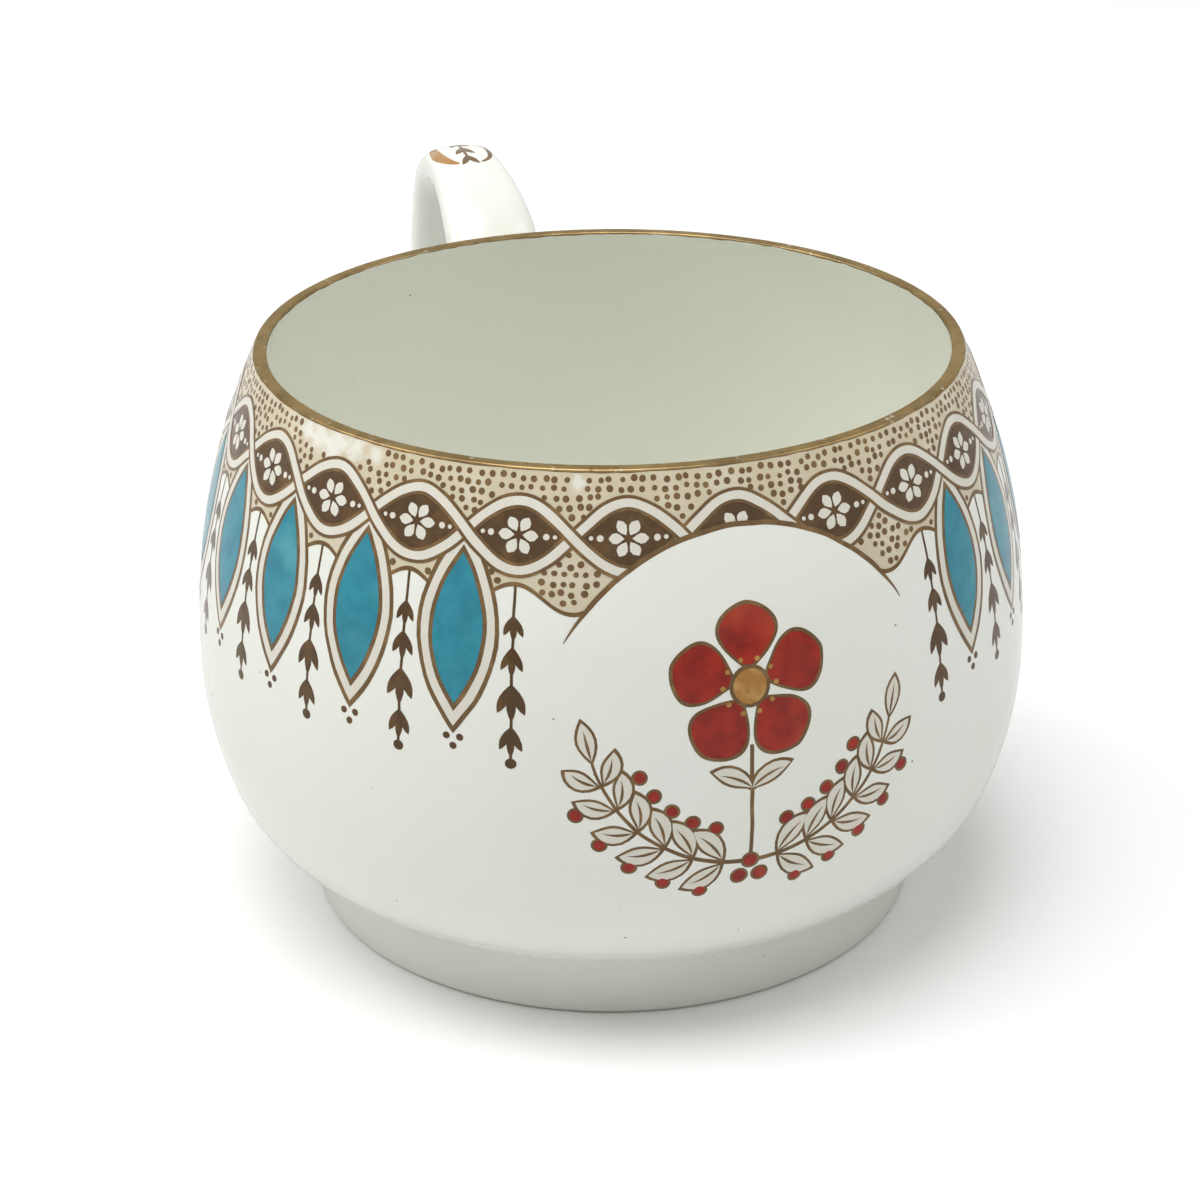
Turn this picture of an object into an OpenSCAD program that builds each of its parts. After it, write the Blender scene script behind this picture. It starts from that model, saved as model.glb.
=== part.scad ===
// Coffee cup of glazed china: a thrown bowl on a foot ring, with a strap handle stuck on with slip,
// a gilt lip, a border of raised enamel leaves and an enamel flower in a round reserve.
// The origin is the middle of the foot on the table. The handle points along +X, the flower along -X.

/* [Bowl] */
// Height of the lip above the table
cup_h = 57; // [52:0.5:62]
// Outside radius at the widest part of the belly
belly_r = 40.9; // [39:0.1:44]
// Height of the base's underside above the table
base_z = 5.9; // [5.2:0.1:8]
// Radius of the wall's curve above the belly
upper_arc = 70; // [62:1:85]
// Radius of the wall's curve just below the belly
lower_arc = 36; // [33:0.5:40]
// Radius of the turn from the belly into the base
turn_arc = 13; // [11:0.5:15]
// Angle below level at which the belly becomes that turn
turn_angle = 19; // [15:1:24]
// Thickness of the floor and of the wall up to the belly
wall = 1.7; // [1.3:0.1:2.4]
// Width of the lip's level top, before its edges are rounded
lip_t = 1.3; // [0.9:0.1:1.6]
// Rounding of the lip's two edges
lip_round = 0.25; // [0.15:0.05:0.4]

/* [Foot] */
// Outside radius of the foot ring
foot_r = 30.5; // [28:0.1:33]
// Thickness of the foot ring
foot_wall = 2.6; // [2:0.1:4]
// Rounding of the foot ring's two lower edges
foot_round = 0.6; // [0.3:0.1:0.8]

/* [Handle] */
// Width of the strap at the crown
strap_w = 8; // [6:0.1:10]
// Width of the strap where it meets the wall
strap_end_w = 10; // [7:0.1:12]
// Thickness of the strap
strap_t = 4.2; // [3:0.1:5.2]
// Height of the strap's middle line at the crown, above the lip
crown_rise = 1.7; // [0:0.1:4]
// Distance of the crown outside the belly
crown_out = 13.6; // [11:0.1:17]
// Radius of the upper arm's curve
arm_arc = 18; // [15:0.5:22]
// Angle above level at which the upper arm leaves the wall
arm_rise = 45; // [35:1:50]
// Radius of the turn at the crown
crown_arc = 7; // [5.5:0.5:9]
// Angle that the crown turns through
crown_turn = 66; // [58:1:74]
// Radius of the outer bow
bow_arc = 40; // [34:1:48]
// Angle that the outer bow turns through
bow_turn = 34; // [28:1:40]
// Radius of the turn at the heel
heel_arc = 13; // [10:0.5:15]
// Angle above level at which the lower arm leaves the wall
heel_fall = 8; // [2:1:14]

/* [Slip joints] */
// Thickness of the slip between two pieces
slip_t = 0.4; // [0.2:0.1:0.8]
// Distance that the slip spreads round a piece
slip_lap = 0.9; // [0.4:0.1:1.5]

/* [Gilding and enamel] */
// Thickness of the gilding
gilt_t = 0.1; // [0.05:0.05:0.2]
// Distance that the gilding reaches down each side of the lip
gilt_reach = 0.3; // [0.2:0.1:2]
// Thickness of the raised enamel
enamel_t = 0.12; // [0.06:0.02:0.3]
// Number of enamel leaves round the cup, if none made room for the reserve
leaf_count = 24; // [16:1:26]
// Width of an enamel leaf
leaf_w = 4.6; // [3:0.1:6]
// Length of an enamel leaf
leaf_len = 13; // [9:0.5:15]
// Depth of the leaves' upper tips below the lip
leaf_drop = 7.2; // [5:0.1:10]
// Radius of the round reserve
reserve_r = 19; // [15:0.5:20]
// Depth of the reserve's middle below the lip
reserve_drop = 23.5; // [21:0.5:26]
// Height of the flower above the reserve's middle
flower_lift = 5; // [0:0.5:7]
// Radius of a flower petal
petal_r = 2.7; // [1.5:0.1:2.8]
// Radius of the flower's eye
eye_r = 1.6; // [1.5:0.1:2]
// Gap between the flower's eye and its petals
petal_gap = 0.4; // [0.2:0.1:0.8]
// Number of flower petals
petal_count = 5; // [4:1:5]

/* [Hidden] */
$fn = 180;

// Wall: three arcs that meet smoothly, from the lip down to the base
turn_z = base_z + turn_arc;
belly_z = turn_z + (lower_arc - turn_arc) * sin(turn_angle);
turn_x = belly_r - lower_arc + (lower_arc - turn_arc) * cos(turn_angle);
upper_x = belly_r - upper_arc;
lip_rise = cup_h - belly_z;
lip_out = upper_x + sqrt(pow(upper_arc, 2) - pow(lip_rise, 2));

// Radius of the inside's curve above the belly, which thins the wall towards the lip
lip_lean = belly_r - wall - (lip_out - lip_t);
inner_arc = (pow(lip_lean, 2) + pow(lip_rise, 2)) / (2 * lip_lean);
inner_x = belly_r - wall - inner_arc;

// Lip: the middles of its two rounded edges, and the angles at which they run into the walls
edge_rise = lip_rise - lip_round;
outer_angle = asin(edge_rise / (upper_arc - lip_round));
inner_angle = asin(edge_rise / (inner_arc + lip_round));
outer_edge = [upper_x + (upper_arc - lip_round) * cos(outer_angle), cup_h - lip_round];
inner_edge = [inner_x + (inner_arc + lip_round) * cos(inner_angle), cup_h - lip_round];

// A span that is wider and taller than the cup
span = 2 * belly_r + cup_h;

// Handle: the strap's middle line in the XZ plane, with headings measured up from +X
crown = [belly_r + crown_out, cup_h + crown_rise];
arm_start = arc_end(crown, arm_arc, 0, arm_rise);
bow_heading = -crown_turn;
bow_start = arc_end(crown, crown_arc, 0, bow_heading);
heel_heading = bow_heading - bow_turn;
heel_start = arc_end(bow_start, bow_arc, bow_heading, heel_heading);
tail_heading = heel_fall - 180;
tail_start = arc_end(heel_start, heel_arc, heel_heading, tail_heading);
// Length of a handle's end before the wall cuts it
tail_len = belly_r / 2;
// Turn between two sections of the strap, and the number of sides of a section
strap_step = 6;
strap_sides = 20;
// Power that squares up the strap's oval section: 1 is an ellipse
strap_power = 0.75;
// The strap's arcs in order: start, radius, first and last heading, first and last width
strap_arcs = [
    [arm_start, arm_arc, arm_rise, 0, strap_end_w, strap_w],
    [crown, crown_arc, 0, bow_heading, strap_w, strap_w],
    [bow_start, bow_arc, bow_heading, heel_heading, strap_w, strap_w],
    [heel_start, heel_arc, heel_heading, tail_heading, strap_w, strap_end_w]
];
// The strap's sections from end to end: middle, heading and width
strap_stations = concat(
    [[ahead(arm_start, arm_rise, -tail_len), arm_rise, strap_end_w]],
    [[arm_start, arm_rise, strap_end_w]],
    [for (arc = strap_arcs) each arc_stations(arc)],
    [[ahead(tail_start, tail_heading, tail_len), tail_heading, strap_end_w]]
);

// Decoration
leaf_step = 360 / leaf_count;
leaf_z = cup_h - leaf_drop - leaf_len / 2;
leaf_arc = (pow(leaf_len, 2) + pow(leaf_w, 2)) / (4 * leaf_w);
reserve_z = cup_h - reserve_drop;
flower_z = reserve_z + flower_lift;
petal_ring = eye_r + petal_gap + petal_r;
// Angle either side of the reserve's middle that holds no whole leaf
reserve_angle = asin((reserve_r - leaf_w / 2) / belly_r);

function arc_centre(start, radius, heading) = start + radius * [sin(heading), -cos(heading)];

function arc_end(start, radius, from, to) =
    arc_centre(start, radius, from) + radius * [-sin(to), cos(to)];

function ahead(start, heading, distance) = start + distance * [cos(heading), sin(heading)];

// A value that goes smoothly from one to another as the share goes from 0 to 1
function eased(from, to, share) = from + (to - from) * share * share * (3 - 2 * share);

// The sections along one arc, after its first
function arc_stations(arc) =
    let (steps = ceil((arc[2] - arc[3]) / strap_step))
    [
        for (i = [1 : steps])
            let (heading = arc[2] + (arc[3] - arc[2]) * i / steps)
            [arc_end(arc[0], arc[1], arc[2], heading), heading, eased(arc[4], arc[5], i / steps)]
    ];

function squared(value) = sign(value) * pow(abs(value), strap_power);

// The points of the strap's section at one station
function strap_ring(station) =
    [
        for (i = [0 : strap_sides - 1])
            let (turn = 360 * i / strap_sides)
            let (middle = ahead(station[0], station[1] + 90, strap_t / 2 * squared(cos(turn))))
            [middle.x, station[2] / 2 * squared(sin(turn)), middle.y]
    ];

// The two triangles between neighbouring points of a ring and of the next one
function strap_facets(ring, side) =
    let (here = ring * strap_sides)
    let (near = here + side)
    let (far = here + (side + 1) % strap_sides)
    [[near, near + strap_sides, far + strap_sides], [near, far + strap_sides, far]];

// Half section of everything within a wall that stands the given amount outside the outer one,
// with the given radius above the belly. Each smaller disc lies inside the next larger one and
// touches it where their arcs meet.
module wall_half(grow, arc) {
    lower_end = belly_z - (lower_arc + grow) * sin(turn_angle);
    intersection() {
        translate([belly_r + grow - arc, belly_z])
            circle(arc);
        translate([0, belly_z])
            square([span, cup_h + wall - belly_z]);
    }
    intersection() {
        translate([belly_r - lower_arc, belly_z])
            circle(lower_arc + grow);
        translate([0, lower_end])
            square([span, turn_arc + belly_z - lower_end]);
    }
    translate([turn_x, turn_z])
        circle(turn_arc + grow);
    translate([0, base_z - grow])
        square([turn_x, belly_z - base_z]);
}

// Half section of everything within the outer wall, grown outward by the given amount
module outer_half(grow) {
    wall_half(grow, upper_arc + grow);
}

// Half section of the space inside the bowl, shrunk by the given amount
module inner_half(shrink) {
    wall_half(-wall - shrink, inner_arc - shrink);
}

// Everything above a height
module above(height) {
    translate([0, height])
        square(span);
}

// The corner that is taken off to round an edge: what lies outside a disc, between two of its radii
module corner(middle, radius, from, to) {
    reach = 2 * radius;
    half = (to - from) / 2;
    translate(middle)
        rotate(from + half)
            difference() {
                polygon([
                    [0, 0],
                    reach * [cos(half), -sin(half)],
                    [reach / cos(half), 0],
                    reach * [cos(half), sin(half)]
                ]);
                circle(radius);
            }
}

// Half section of the bowl with its level lip, grown by the given amount all over
module bowl_half(grow) {
    radius = lip_round + grow;
    difference() {
        outer_half(grow);
        inner_half(grow);
        above(cup_h + grow);
        corner(outer_edge, radius, outer_angle, 90);
        corner(inner_edge, radius, 90, 180 + inner_angle);
    }
}

// A layer that lies on the outer wall
module wall_layer(thickness) {
    rotate_extrude()
        difference() {
            outer_half(thickness);
            outer_half(0);
        }
}

// The strap from end to end, before the wall cuts it
module strap() {
    last = len(strap_stations) - 1;
    polyhedron(
        points = [for (station = strap_stations) each strap_ring(station)],
        faces = concat(
            [[for (i = [0 : strap_sides - 1]) i]],
            [for (ring = [0 : last - 1]) for (i = [0 : strap_sides - 1]) each strap_facets(ring, i)],
            [[for (i = [strap_sides - 1 : -1 : 0]) last * strap_sides + i]]
        )
    );
}

// The outline of the slip round an end of the strap
module slip_outline() {
    edge = (strap_end_w - strap_t) / 2;
    square([strap_t + 2 * slip_lap, 2 * edge], center = true);
    for (side = [-1, 1])
        translate([0, side * edge])
            circle(strap_t / 2 + slip_lap);
}

module bowl() {
    color("whitesmoke")
        rotate_extrude()
            bowl_half(0);
}

module foot_half() {
    inner = foot_r - foot_wall;
    translate([inner, foot_round])
        square([foot_wall, turn_z]);
    translate([inner + foot_round, 0])
        square([foot_wall - 2 * foot_round, turn_z]);
    for (x = [inner + foot_round, foot_r - foot_round])
        translate([x, foot_round])
            circle(foot_round);
}

module foot_ring() {
    color("gainsboro")
        rotate_extrude()
            difference() {
                foot_half();
                outer_half(slip_t);
            }
}

module foot_slip_joint() {
    color("lightgray")
        rotate_extrude()
            intersection() {
                difference() {
                    outer_half(slip_t);
                    outer_half(0);
                }
                translate([foot_r - foot_wall - slip_lap, 0])
                    square([foot_wall + 2 * slip_lap, turn_z]);
            }
}

module handle() {
    color("ivory")
        difference() {
            strap();
            rotate_extrude()
                outer_half(slip_t);
        }
}

// The slip between the wall and an end of the strap that runs into it with the given heading
module slip_joint(start, heading) {
    color("lightgray")
        intersection() {
            wall_layer(slip_t);
            translate([start.x, 0, start.y])
                rotate([0, 90 - heading, 0])
                    linear_extrude(tail_len)
                        slip_outline();
        }
}

module upper_slip_joint() {
    slip_joint(arm_start, arm_rise - 180);
}

module lower_slip_joint() {
    slip_joint(tail_start, tail_heading);
}

module rim_gilding() {
    color("goldenrod")
        rotate_extrude()
            intersection() {
                difference() {
                    bowl_half(gilt_t);
                    bowl_half(0);
                }
                above(cup_h - gilt_reach);
            }
}

// A leaf with a tip at each end, made of two arcs
module leaf_outline() {
    intersection_for (side = [-1, 1])
        translate([side * (leaf_arc - leaf_w / 2), leaf_z])
            circle(leaf_arc);
}

// An outline that faces along +X, drawn outward through the wall
module outward() {
    translate([belly_r / 2, 0, 0])
        rotate([90, 0, 90])
            linear_extrude(belly_r)
                children();
}

module leaf_enamel() {
    color("mediumturquoise")
        intersection() {
            wall_layer(enamel_t);
            for (i = [0 : leaf_count - 1])
                let (turn = (i + 0.5) * leaf_step)
                    if (abs(turn - 180) > reserve_angle)
                        rotate(turn)
                            outward()
                                leaf_outline();
            difference() {
                cube(2 * span, center = true);
                rotate(180)
                    outward()
                        translate([0, reserve_z])
                            circle(reserve_r);
            }
        }
}

module flower_enamel() {
    color("firebrick")
        intersection() {
            wall_layer(enamel_t);
            rotate(180)
                outward()
                    translate([0, flower_z]) {
                        circle(eye_r);
                        for (i = [0 : petal_count - 1])
                            rotate(90 + i * 360 / petal_count)
                                translate([petal_ring, 0])
                                    circle(petal_r);
                    }
        }
}

bowl();
foot_ring();
handle();
upper_slip_joint();
lower_slip_joint();
foot_slip_joint();
rim_gilding();
leaf_enamel();
flower_enamel();
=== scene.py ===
"""Coffee cup of glazed china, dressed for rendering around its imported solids.

Lengths are in metres. The origin is the middle of the foot on the table, the handle points along +X,
the flower along -X, and +Z is up. Depths along the wall run down from the lip.
"""

import logging
import math
import random
from collections.abc import Callable, Iterable, Mapping
from dataclasses import dataclass
from enum import Enum, IntEnum
from functools import cached_property

import bmesh
import bpy
from bmesh.types import BMesh, BMVert
from mathutils import Matrix, Vector, noise


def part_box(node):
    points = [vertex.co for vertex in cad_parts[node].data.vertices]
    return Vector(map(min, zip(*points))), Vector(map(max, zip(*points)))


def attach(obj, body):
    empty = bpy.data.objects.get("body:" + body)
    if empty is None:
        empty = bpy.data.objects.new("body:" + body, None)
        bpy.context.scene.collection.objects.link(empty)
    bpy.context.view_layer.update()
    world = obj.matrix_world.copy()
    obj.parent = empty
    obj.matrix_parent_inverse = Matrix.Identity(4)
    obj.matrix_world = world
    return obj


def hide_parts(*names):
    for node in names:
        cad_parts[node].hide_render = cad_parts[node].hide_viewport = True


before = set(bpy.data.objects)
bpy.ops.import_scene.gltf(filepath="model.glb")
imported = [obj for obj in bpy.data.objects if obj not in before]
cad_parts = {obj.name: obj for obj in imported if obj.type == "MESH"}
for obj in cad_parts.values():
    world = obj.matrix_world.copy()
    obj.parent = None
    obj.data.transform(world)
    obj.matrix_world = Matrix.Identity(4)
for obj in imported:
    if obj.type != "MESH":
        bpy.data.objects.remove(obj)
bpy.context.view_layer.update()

LOG = logging.getLogger("coffee_cup")
MM = 0.001
BODY = "root"
# Height of one printed layer over the one below, and the depth at which decoration starts in the glaze
LAYER = 0.008 * MM
BEDDED = -0.02 * MM
# How far a hand-drawn line strays, and over what distance
WAVER = 0.09 * MM
WAVER_SPAN = 2.2 * MM
# With a seed, Blender's vector noise is the same each run
noise.seed_set(11)
# Distance within which points of a mesh are merged
MERGED = 0.0005 * MM
# Places under the lip where the print is rubbed away: angle in degrees and radius in millimetres
RUBBED = ((22, 1.5), (111, 1.1), (114, 1.5), (118, 1.6), (122, 1.3), (126, 0.9), (158, 0.8), (268, 1.5),
          (271, 1.2), (330, 1.2))
RUBBED_REACH = 34.5 * MM
RUBBED_HEIGHT = 56.1 * MM

Colour = tuple[float, float, float, float]
Chart = Callable[[Vector], Vector]
Route = Callable[[float], Vector]
Width = Callable[[float], float]
Lift = Callable[[float, float], float]
Spot = Callable[[int, int], Vector]


def paint(red: int, green: int, blue: int) -> Colour:
    """Turn a colour as a screen shows it into the linear colour that a shader takes.

    Args:
        red: Red, 0 to 255.
        green: Green, 0 to 255.
        blue: Blue, 0 to 255.

    Returns:
        The linear colour, opaque.
    """
    shares = (level / 255 for level in (red, green, blue))
    return (*(share / 12.92 if share <= 0.04045 else ((share + 0.055) / 1.055) ** 2.4
              for share in shares), 1.0)


def around(turn: float, reach: float, height: float = 0.0) -> Vector:
    """Give the point at an angle and a distance from the axis."""
    return Vector((reach * math.cos(turn), reach * math.sin(turn), height))


def rubbed_spots() -> list[tuple[Vector, float]]:
    """List the middles and the radii of the places where the print is rubbed away."""
    return [(around(math.radians(turn), RUBBED_REACH, RUBBED_HEIGHT), radius * MM) for turn, radius in RUBBED]


class Slot(Enum):
    """The record's material slots."""

    CHINA = "glazed_china"
    FOOT = "foot_china"
    SLIP = "glazed_slip"
    GILDING = "worn_gilding"
    TURQUOISE = "turquoise_enamel"
    RED = "red_enamel"
    BROWN = "brown_print"
    CREAM = "cream_print"


class Layer(IntEnum):
    """The layers of the decoration, counted up from the wall."""

    GROUND = 1
    PRINT = 2
    FRAME = 3
    INNER_LINE = 4
    RIBBON_LINE = 6
    RIBBON = 7
    RESERVE = 10
    RESERVE_LINE = 11
    RESERVE_FILL = 12
    VEIN = 13
    EYE_LINE = 15
    EYE = 19
    STAMEN = 20

    @property
    def lift(self) -> float:
        """Give the height of the layer's face off the wall."""
        return self * LAYER


def math_operator(operation: str, reflected: bool = False) -> Callable[["Value", "Value | float"], "Value"]:
    """Make an operator that adds a Math node.

    Args:
        operation: The node's operation.
        reflected: Whether the other term comes first, as in 1 - mask.

    Returns:
        The operator's method.
    """
    def method(value: "Value", other: "Value | float") -> "Value":
        """Add the node on the two terms."""
        terms = (other, value) if reflected else (value, other)
        return value.shader.node("ShaderNodeMath", {"operation": operation}, dict(enumerate(terms)))

    return method


class Value:
    """A shader socket that takes part in sums: each operator adds a Math node."""

    __add__, __radd__ = math_operator("ADD"), math_operator("ADD", True)
    __sub__, __rsub__ = math_operator("SUBTRACT"), math_operator("SUBTRACT", True)
    __mul__, __rmul__ = math_operator("MULTIPLY"), math_operator("MULTIPLY", True)
    __truediv__, __rtruediv__ = math_operator("DIVIDE"), math_operator("DIVIDE", True)
    __lt__ = math_operator("LESS_THAN")

    def __init__(self, shader: "Shader", socket: bpy.types.NodeSocket) -> None:
        """Keep the socket and the shader that it belongs to."""
        self.shader = shader
        self.socket = socket

    def clamped(self) -> "Value":
        """Hold the value between 0 and 1."""
        return self.shader.node("ShaderNodeMath", {"operation": "ADD", "use_clamp": True}, {0: self, 1: 0.0})

    def eased(self, low: float, high: float) -> "Value":
        """Go smoothly from 0 at the low value to 1 at the high one."""
        settings = {"interpolation_type": "SMOOTHSTEP"}
        return self.shader.node("ShaderNodeMapRange", settings, {0: self, 1: low, 2: high})


class Shader:
    """The nodes of one material or of the world."""

    def __init__(self, owner: bpy.types.Material | bpy.types.World) -> None:
        """Start from an empty node tree.

        Args:
            owner: The material or the world.
        """
        owner.use_nodes = True
        self.owner = owner
        self.tree = owner.node_tree
        self.tree.nodes.clear()

    def node(self, kind: str, settings: Mapping[str, object] | None = None,
             sockets: Mapping[str | int, object] | None = None, output: str | int = 0) -> Value:
        """Add a node.

        Args:
            kind: The node's type.
            settings: Its settings.
            sockets: Values or links of its sockets, by name or place.
            output: The output that is wanted, by name or place.

        Returns:
            The wanted output, or the first input of a node that has no output.
        """
        made = self.tree.nodes.new(kind)
        for name, setting in (settings or {}).items():
            setattr(made, name, setting)
        for key, term in (sockets or {}).items():
            if isinstance(term, Value):
                self.tree.links.new(term.socket, made.inputs[key])
            else:
                made.inputs[key].default_value = term
        return Value(self, made.outputs[output] if made.outputs else made.inputs[0])

    def coordinates(self) -> Value:
        """Give the piece's own coordinates in metres."""
        return self.node("ShaderNodeTexCoord", output="Object")

    def noise(self, where: Value, scale: float, detail: float = 2.0, roughness: float = 0.5) -> Value:
        """Add a noise pattern around a half, with so many patches per metre."""
        sockets = {"Vector": where, "Scale": scale, "Detail": detail, "Roughness": roughness}
        return self.node("ShaderNodeTexNoise", None, sockets, "Fac")

    def specks(self, where: Value, scale: float, size: float, share: float) -> Value:
        """Scatter round specks.

        Args:
            where: The coordinates that they read.
            scale: Cells per metre, each of which may hold one speck.
            size: Radius of a speck as a share of its cell.
            share: Share of the cells that hold one.

        Returns:
            A mask that is 1 in the middle of a speck.
        """
        sockets = {"Vector": where, "Scale": scale}
        distance = self.node("ShaderNodeTexVoronoi", None, sockets, "Distance")
        tint = self.node("ShaderNodeTexVoronoi", None, sockets, "Color")
        chance = self.node("ShaderNodeSeparateColor", None, {"Color": tint}, "Red")
        return (1 - distance / size).eased(0.0, 0.6) * (chance < share)

    def mixed(self, factor: Value | float, first: Value | Colour, second: Value | Colour) -> Value:
        """Mix two colours, by the share of the second."""
        settings = {"data_type": "RGBA", "clamp_factor": True}
        return self.node("ShaderNodeMix", settings, {0: factor, 6: first, 7: second}, 2)

    def bump(self, height: Value, strength: float, distance: float) -> Value:
        """Turn a height pattern into a normal."""
        sockets = {"Height": height, "Strength": strength, "Distance": distance}
        return self.node("ShaderNodeBump", None, sockets, "Normal")

    def surface(self, sockets: Mapping[str | int, object]) -> bpy.types.Material:
        """Put a Principled surface on the material.

        Args:
            sockets: Values or links of the surface's sockets.

        Returns:
            The finished material.
        """
        made = self.node("ShaderNodeBsdfPrincipled", None, sockets, "BSDF")
        self.node("ShaderNodeOutputMaterial", None, {"Surface": made})
        return self.owner


@dataclass(frozen=True)
class Finish:
    """A surface finish: its name, and the record's slot that it belongs to."""

    name: str
    slot: Slot

    def material(self) -> bpy.types.Material:
        """Give the material of this finish, which is made on its first use."""
        found = bpy.data.materials.get(self.name)
        return found or self.mix(Shader(bpy.data.materials.new(self.name)))

    def mix(self, shader: Shader) -> bpy.types.Material:
        """Build the nodes of the finish."""
        raise NotImplementedError


@dataclass(frozen=True)
class ChinaGlaze(Finish):
    """Clear gloss glaze over white china, softly mottled, with a few iron specks."""

    body: Colour = paint(243, 244, 236)
    cast: Colour = paint(239, 241, 229)
    speck: Colour = paint(96, 84, 66)
    bare: Colour = paint(205, 200, 186)
    gloss: float = 0.09
    bare_height: float = -1.0

    def mix(self, shader: Shader) -> bpy.types.Material:
        """Build the nodes of the glaze, which is wiped off below the bare height.

        Args:
            shader: The material's nodes, still empty.

        Returns:
            The material.
        """
        where = shader.coordinates()
        cloud = shader.noise(where, 38, 3)
        peel = shader.noise(where, 420, 2)
        colour = shader.mixed(cloud.eased(0.3, 0.75), self.body, self.cast)
        colour = shader.mixed(shader.specks(where, 260, 0.045, 0.5) * 0.8, colour, self.speck)
        height = shader.node("ShaderNodeSeparateXYZ", None, {"Vector": where}, "Z")
        ragged = height + shader.noise(where, 300, 3) * 0.4 * MM
        bare = 1 - ragged.eased(self.bare_height, self.bare_height + 0.4 * MM)
        return shader.surface({
            "Base Color": shader.mixed(bare * 0.8, colour, self.bare),
            "Roughness": self.gloss + peel * 0.05 + bare * 0.5,
            "Normal": shader.bump(cloud * 0.6 + peel * 0.12, 0.12, 0.5 * MM),
            "IOR": 1.5,
        })


@dataclass(frozen=True)
class Gilding(Finish):
    """Thin fired gilding, dulled and rubbed through to the glaze in places."""

    bright: Colour = paint(142, 120, 82)
    dull: Colour = paint(116, 96, 65)
    edge: Colour = paint(228, 219, 196)
    fleck: Colour = paint(78, 60, 36)
    glaze: Colour = paint(210, 202, 180)

    def mix(self, shader: Shader) -> bpy.types.Material:
        """Build the nodes of the gilding.

        Args:
            shader: The material's nodes, still empty.

        Returns:
            The material.
        """
        where = shader.coordinates()
        tone = shader.noise(where, 240, 4, 0.6)
        rub = shader.noise(where, 620, 4, 0.65)
        worn = rub.eased(0.6, 0.72) * 0.6
        colour = shader.mixed(tone.eased(0.35, 0.65), self.dull, self.bright)
        colour = shader.mixed(shader.specks(where, 900, 0.2, 0.5) * 0.6, colour, self.fleck)
        return shader.surface({
            "Base Color": shader.mixed(worn, colour, self.glaze),
            "Metallic": (1 - worn) * 0.9,
            "Roughness": 0.2 + tone * 0.12 - worn * 0.1,
            "Normal": shader.bump(rub, 0.15, 0.1 * MM),
            "Specular Tint": self.edge,
        })


@dataclass(frozen=True)
class Enamel(Finish):
    """Raised enamel laid by brush, deeper in colour where it pooled."""

    deep: Colour
    middle: Colour
    thin: Colour
    brush: float = 420.0

    def mix(self, shader: Shader) -> bpy.types.Material:
        """Build the nodes of the enamel.

        Args:
            shader: The material's nodes, still empty.

        Returns:
            The material.
        """
        where = shader.coordinates()
        wash = shader.noise(where, self.brush, 3, 0.55)
        pool = shader.noise(where, self.brush * 0.4, 2)
        grain = shader.noise(where, self.brush * 6, 2)
        colour = shader.mixed(wash.eased(0.3, 0.7), self.deep, self.middle)
        thinned = pool.eased(0.5, 0.8) * 0.6 + (grain - 0.5) * 0.2
        return shader.surface({
            "Base Color": shader.mixed(thinned.clamped(), colour, self.thin),
            "Roughness": 0.1 + grain * 0.12,
            "Normal": shader.bump(wash + grain * 0.2, 0.15, 0.1 * MM),
            "Specular IOR Level": 0.35,
        })


@dataclass(frozen=True)
class Print(Finish):
    """Printed colour under the glaze, uneven in strength and rubbed away in places."""

    dense: Colour
    faint: Colour
    patch: float = 500.0
    reach: tuple[float, float] = (0.4, 0.75)
    rubbed: bool = False

    def mix(self, shader: Shader) -> bpy.types.Material:
        """Build the nodes of the print.

        Args:
            shader: The material's nodes, still empty.

        Returns:
            The material.
        """
        where = shader.coordinates()
        patch = shader.noise(where, self.patch, 3, 0.6)
        grain = shader.noise(where, self.patch * 5, 2)
        share = patch.eased(*self.reach) * 0.8 + (grain - 0.5) * 0.35
        colour = shader.mixed(share.clamped(), self.dense, self.faint)
        for middle, radius in rubbed_spots() if self.rubbed else []:
            away = shader.node("ShaderNodeVectorMath", {"operation": "DISTANCE"},
                               {0: where, 1: middle}, "Value")
            worn = (1.3 - away / radius + (patch - 0.5) * 1.2 + (grain - 0.5) * 1.4).eased(0.0, 1.0)
            colour = shader.mixed(worn * 0.7, colour, ChinaGlaze.body)
        return shader.surface({
            "Base Color": colour,
            "Roughness": 0.1 + grain * 0.08,
            "Specular IOR Level": 0.3,
        })


CHINA = ChinaGlaze("china_glaze", Slot.CHINA)
# The foot is the bowl's china glaze with a darker body, which is painted shade for the shadow under the
# belly. Its wiped-bare standing edge is real.
FOOT_CHINA_PAINTED_SHADE = ChinaGlaze("foot_glaze_painted_shade", Slot.FOOT, body=paint(234, 235, 225), bare_height=0.15 * MM)
# The slip is the bowl's china glaze made a little darker, half way to the foot's painted shade, so part of
# its tone is painted shade.
SLIP = ChinaGlaze("slip_glaze_half_shade", Slot.SLIP, body=paint(240, 241, 232))
GILT = Gilding("worn_gilt", Slot.GILDING)
TURQUOISE = Enamel("turquoise_wash", Slot.TURQUOISE,
                   paint(30, 126, 146), paint(44, 143, 162), paint(92, 170, 180))
RED = Enamel("red_wash", Slot.RED, paint(132, 20, 4), paint(168, 36, 10), paint(190, 72, 36))
UMBER = Print("umber_ink", Slot.BROWN, paint(82, 58, 30), paint(108, 80, 44))
SEPIA = Print("sepia_ink", Slot.BROWN, paint(108, 82, 48), paint(144, 114, 72))
CREAM = Print("cream_ground", Slot.CREAM, paint(211, 199, 170), paint(222, 213, 190), 220, rubbed=True)
PALE = Print("pale_line", Slot.CREAM, paint(226, 222, 208), paint(232, 230, 220), 300, (0.45, 0.8))
OCHRE = Print("ochre_wash", Slot.CREAM, paint(170, 122, 56), paint(200, 158, 92), 600, (0.4, 0.7))


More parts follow.
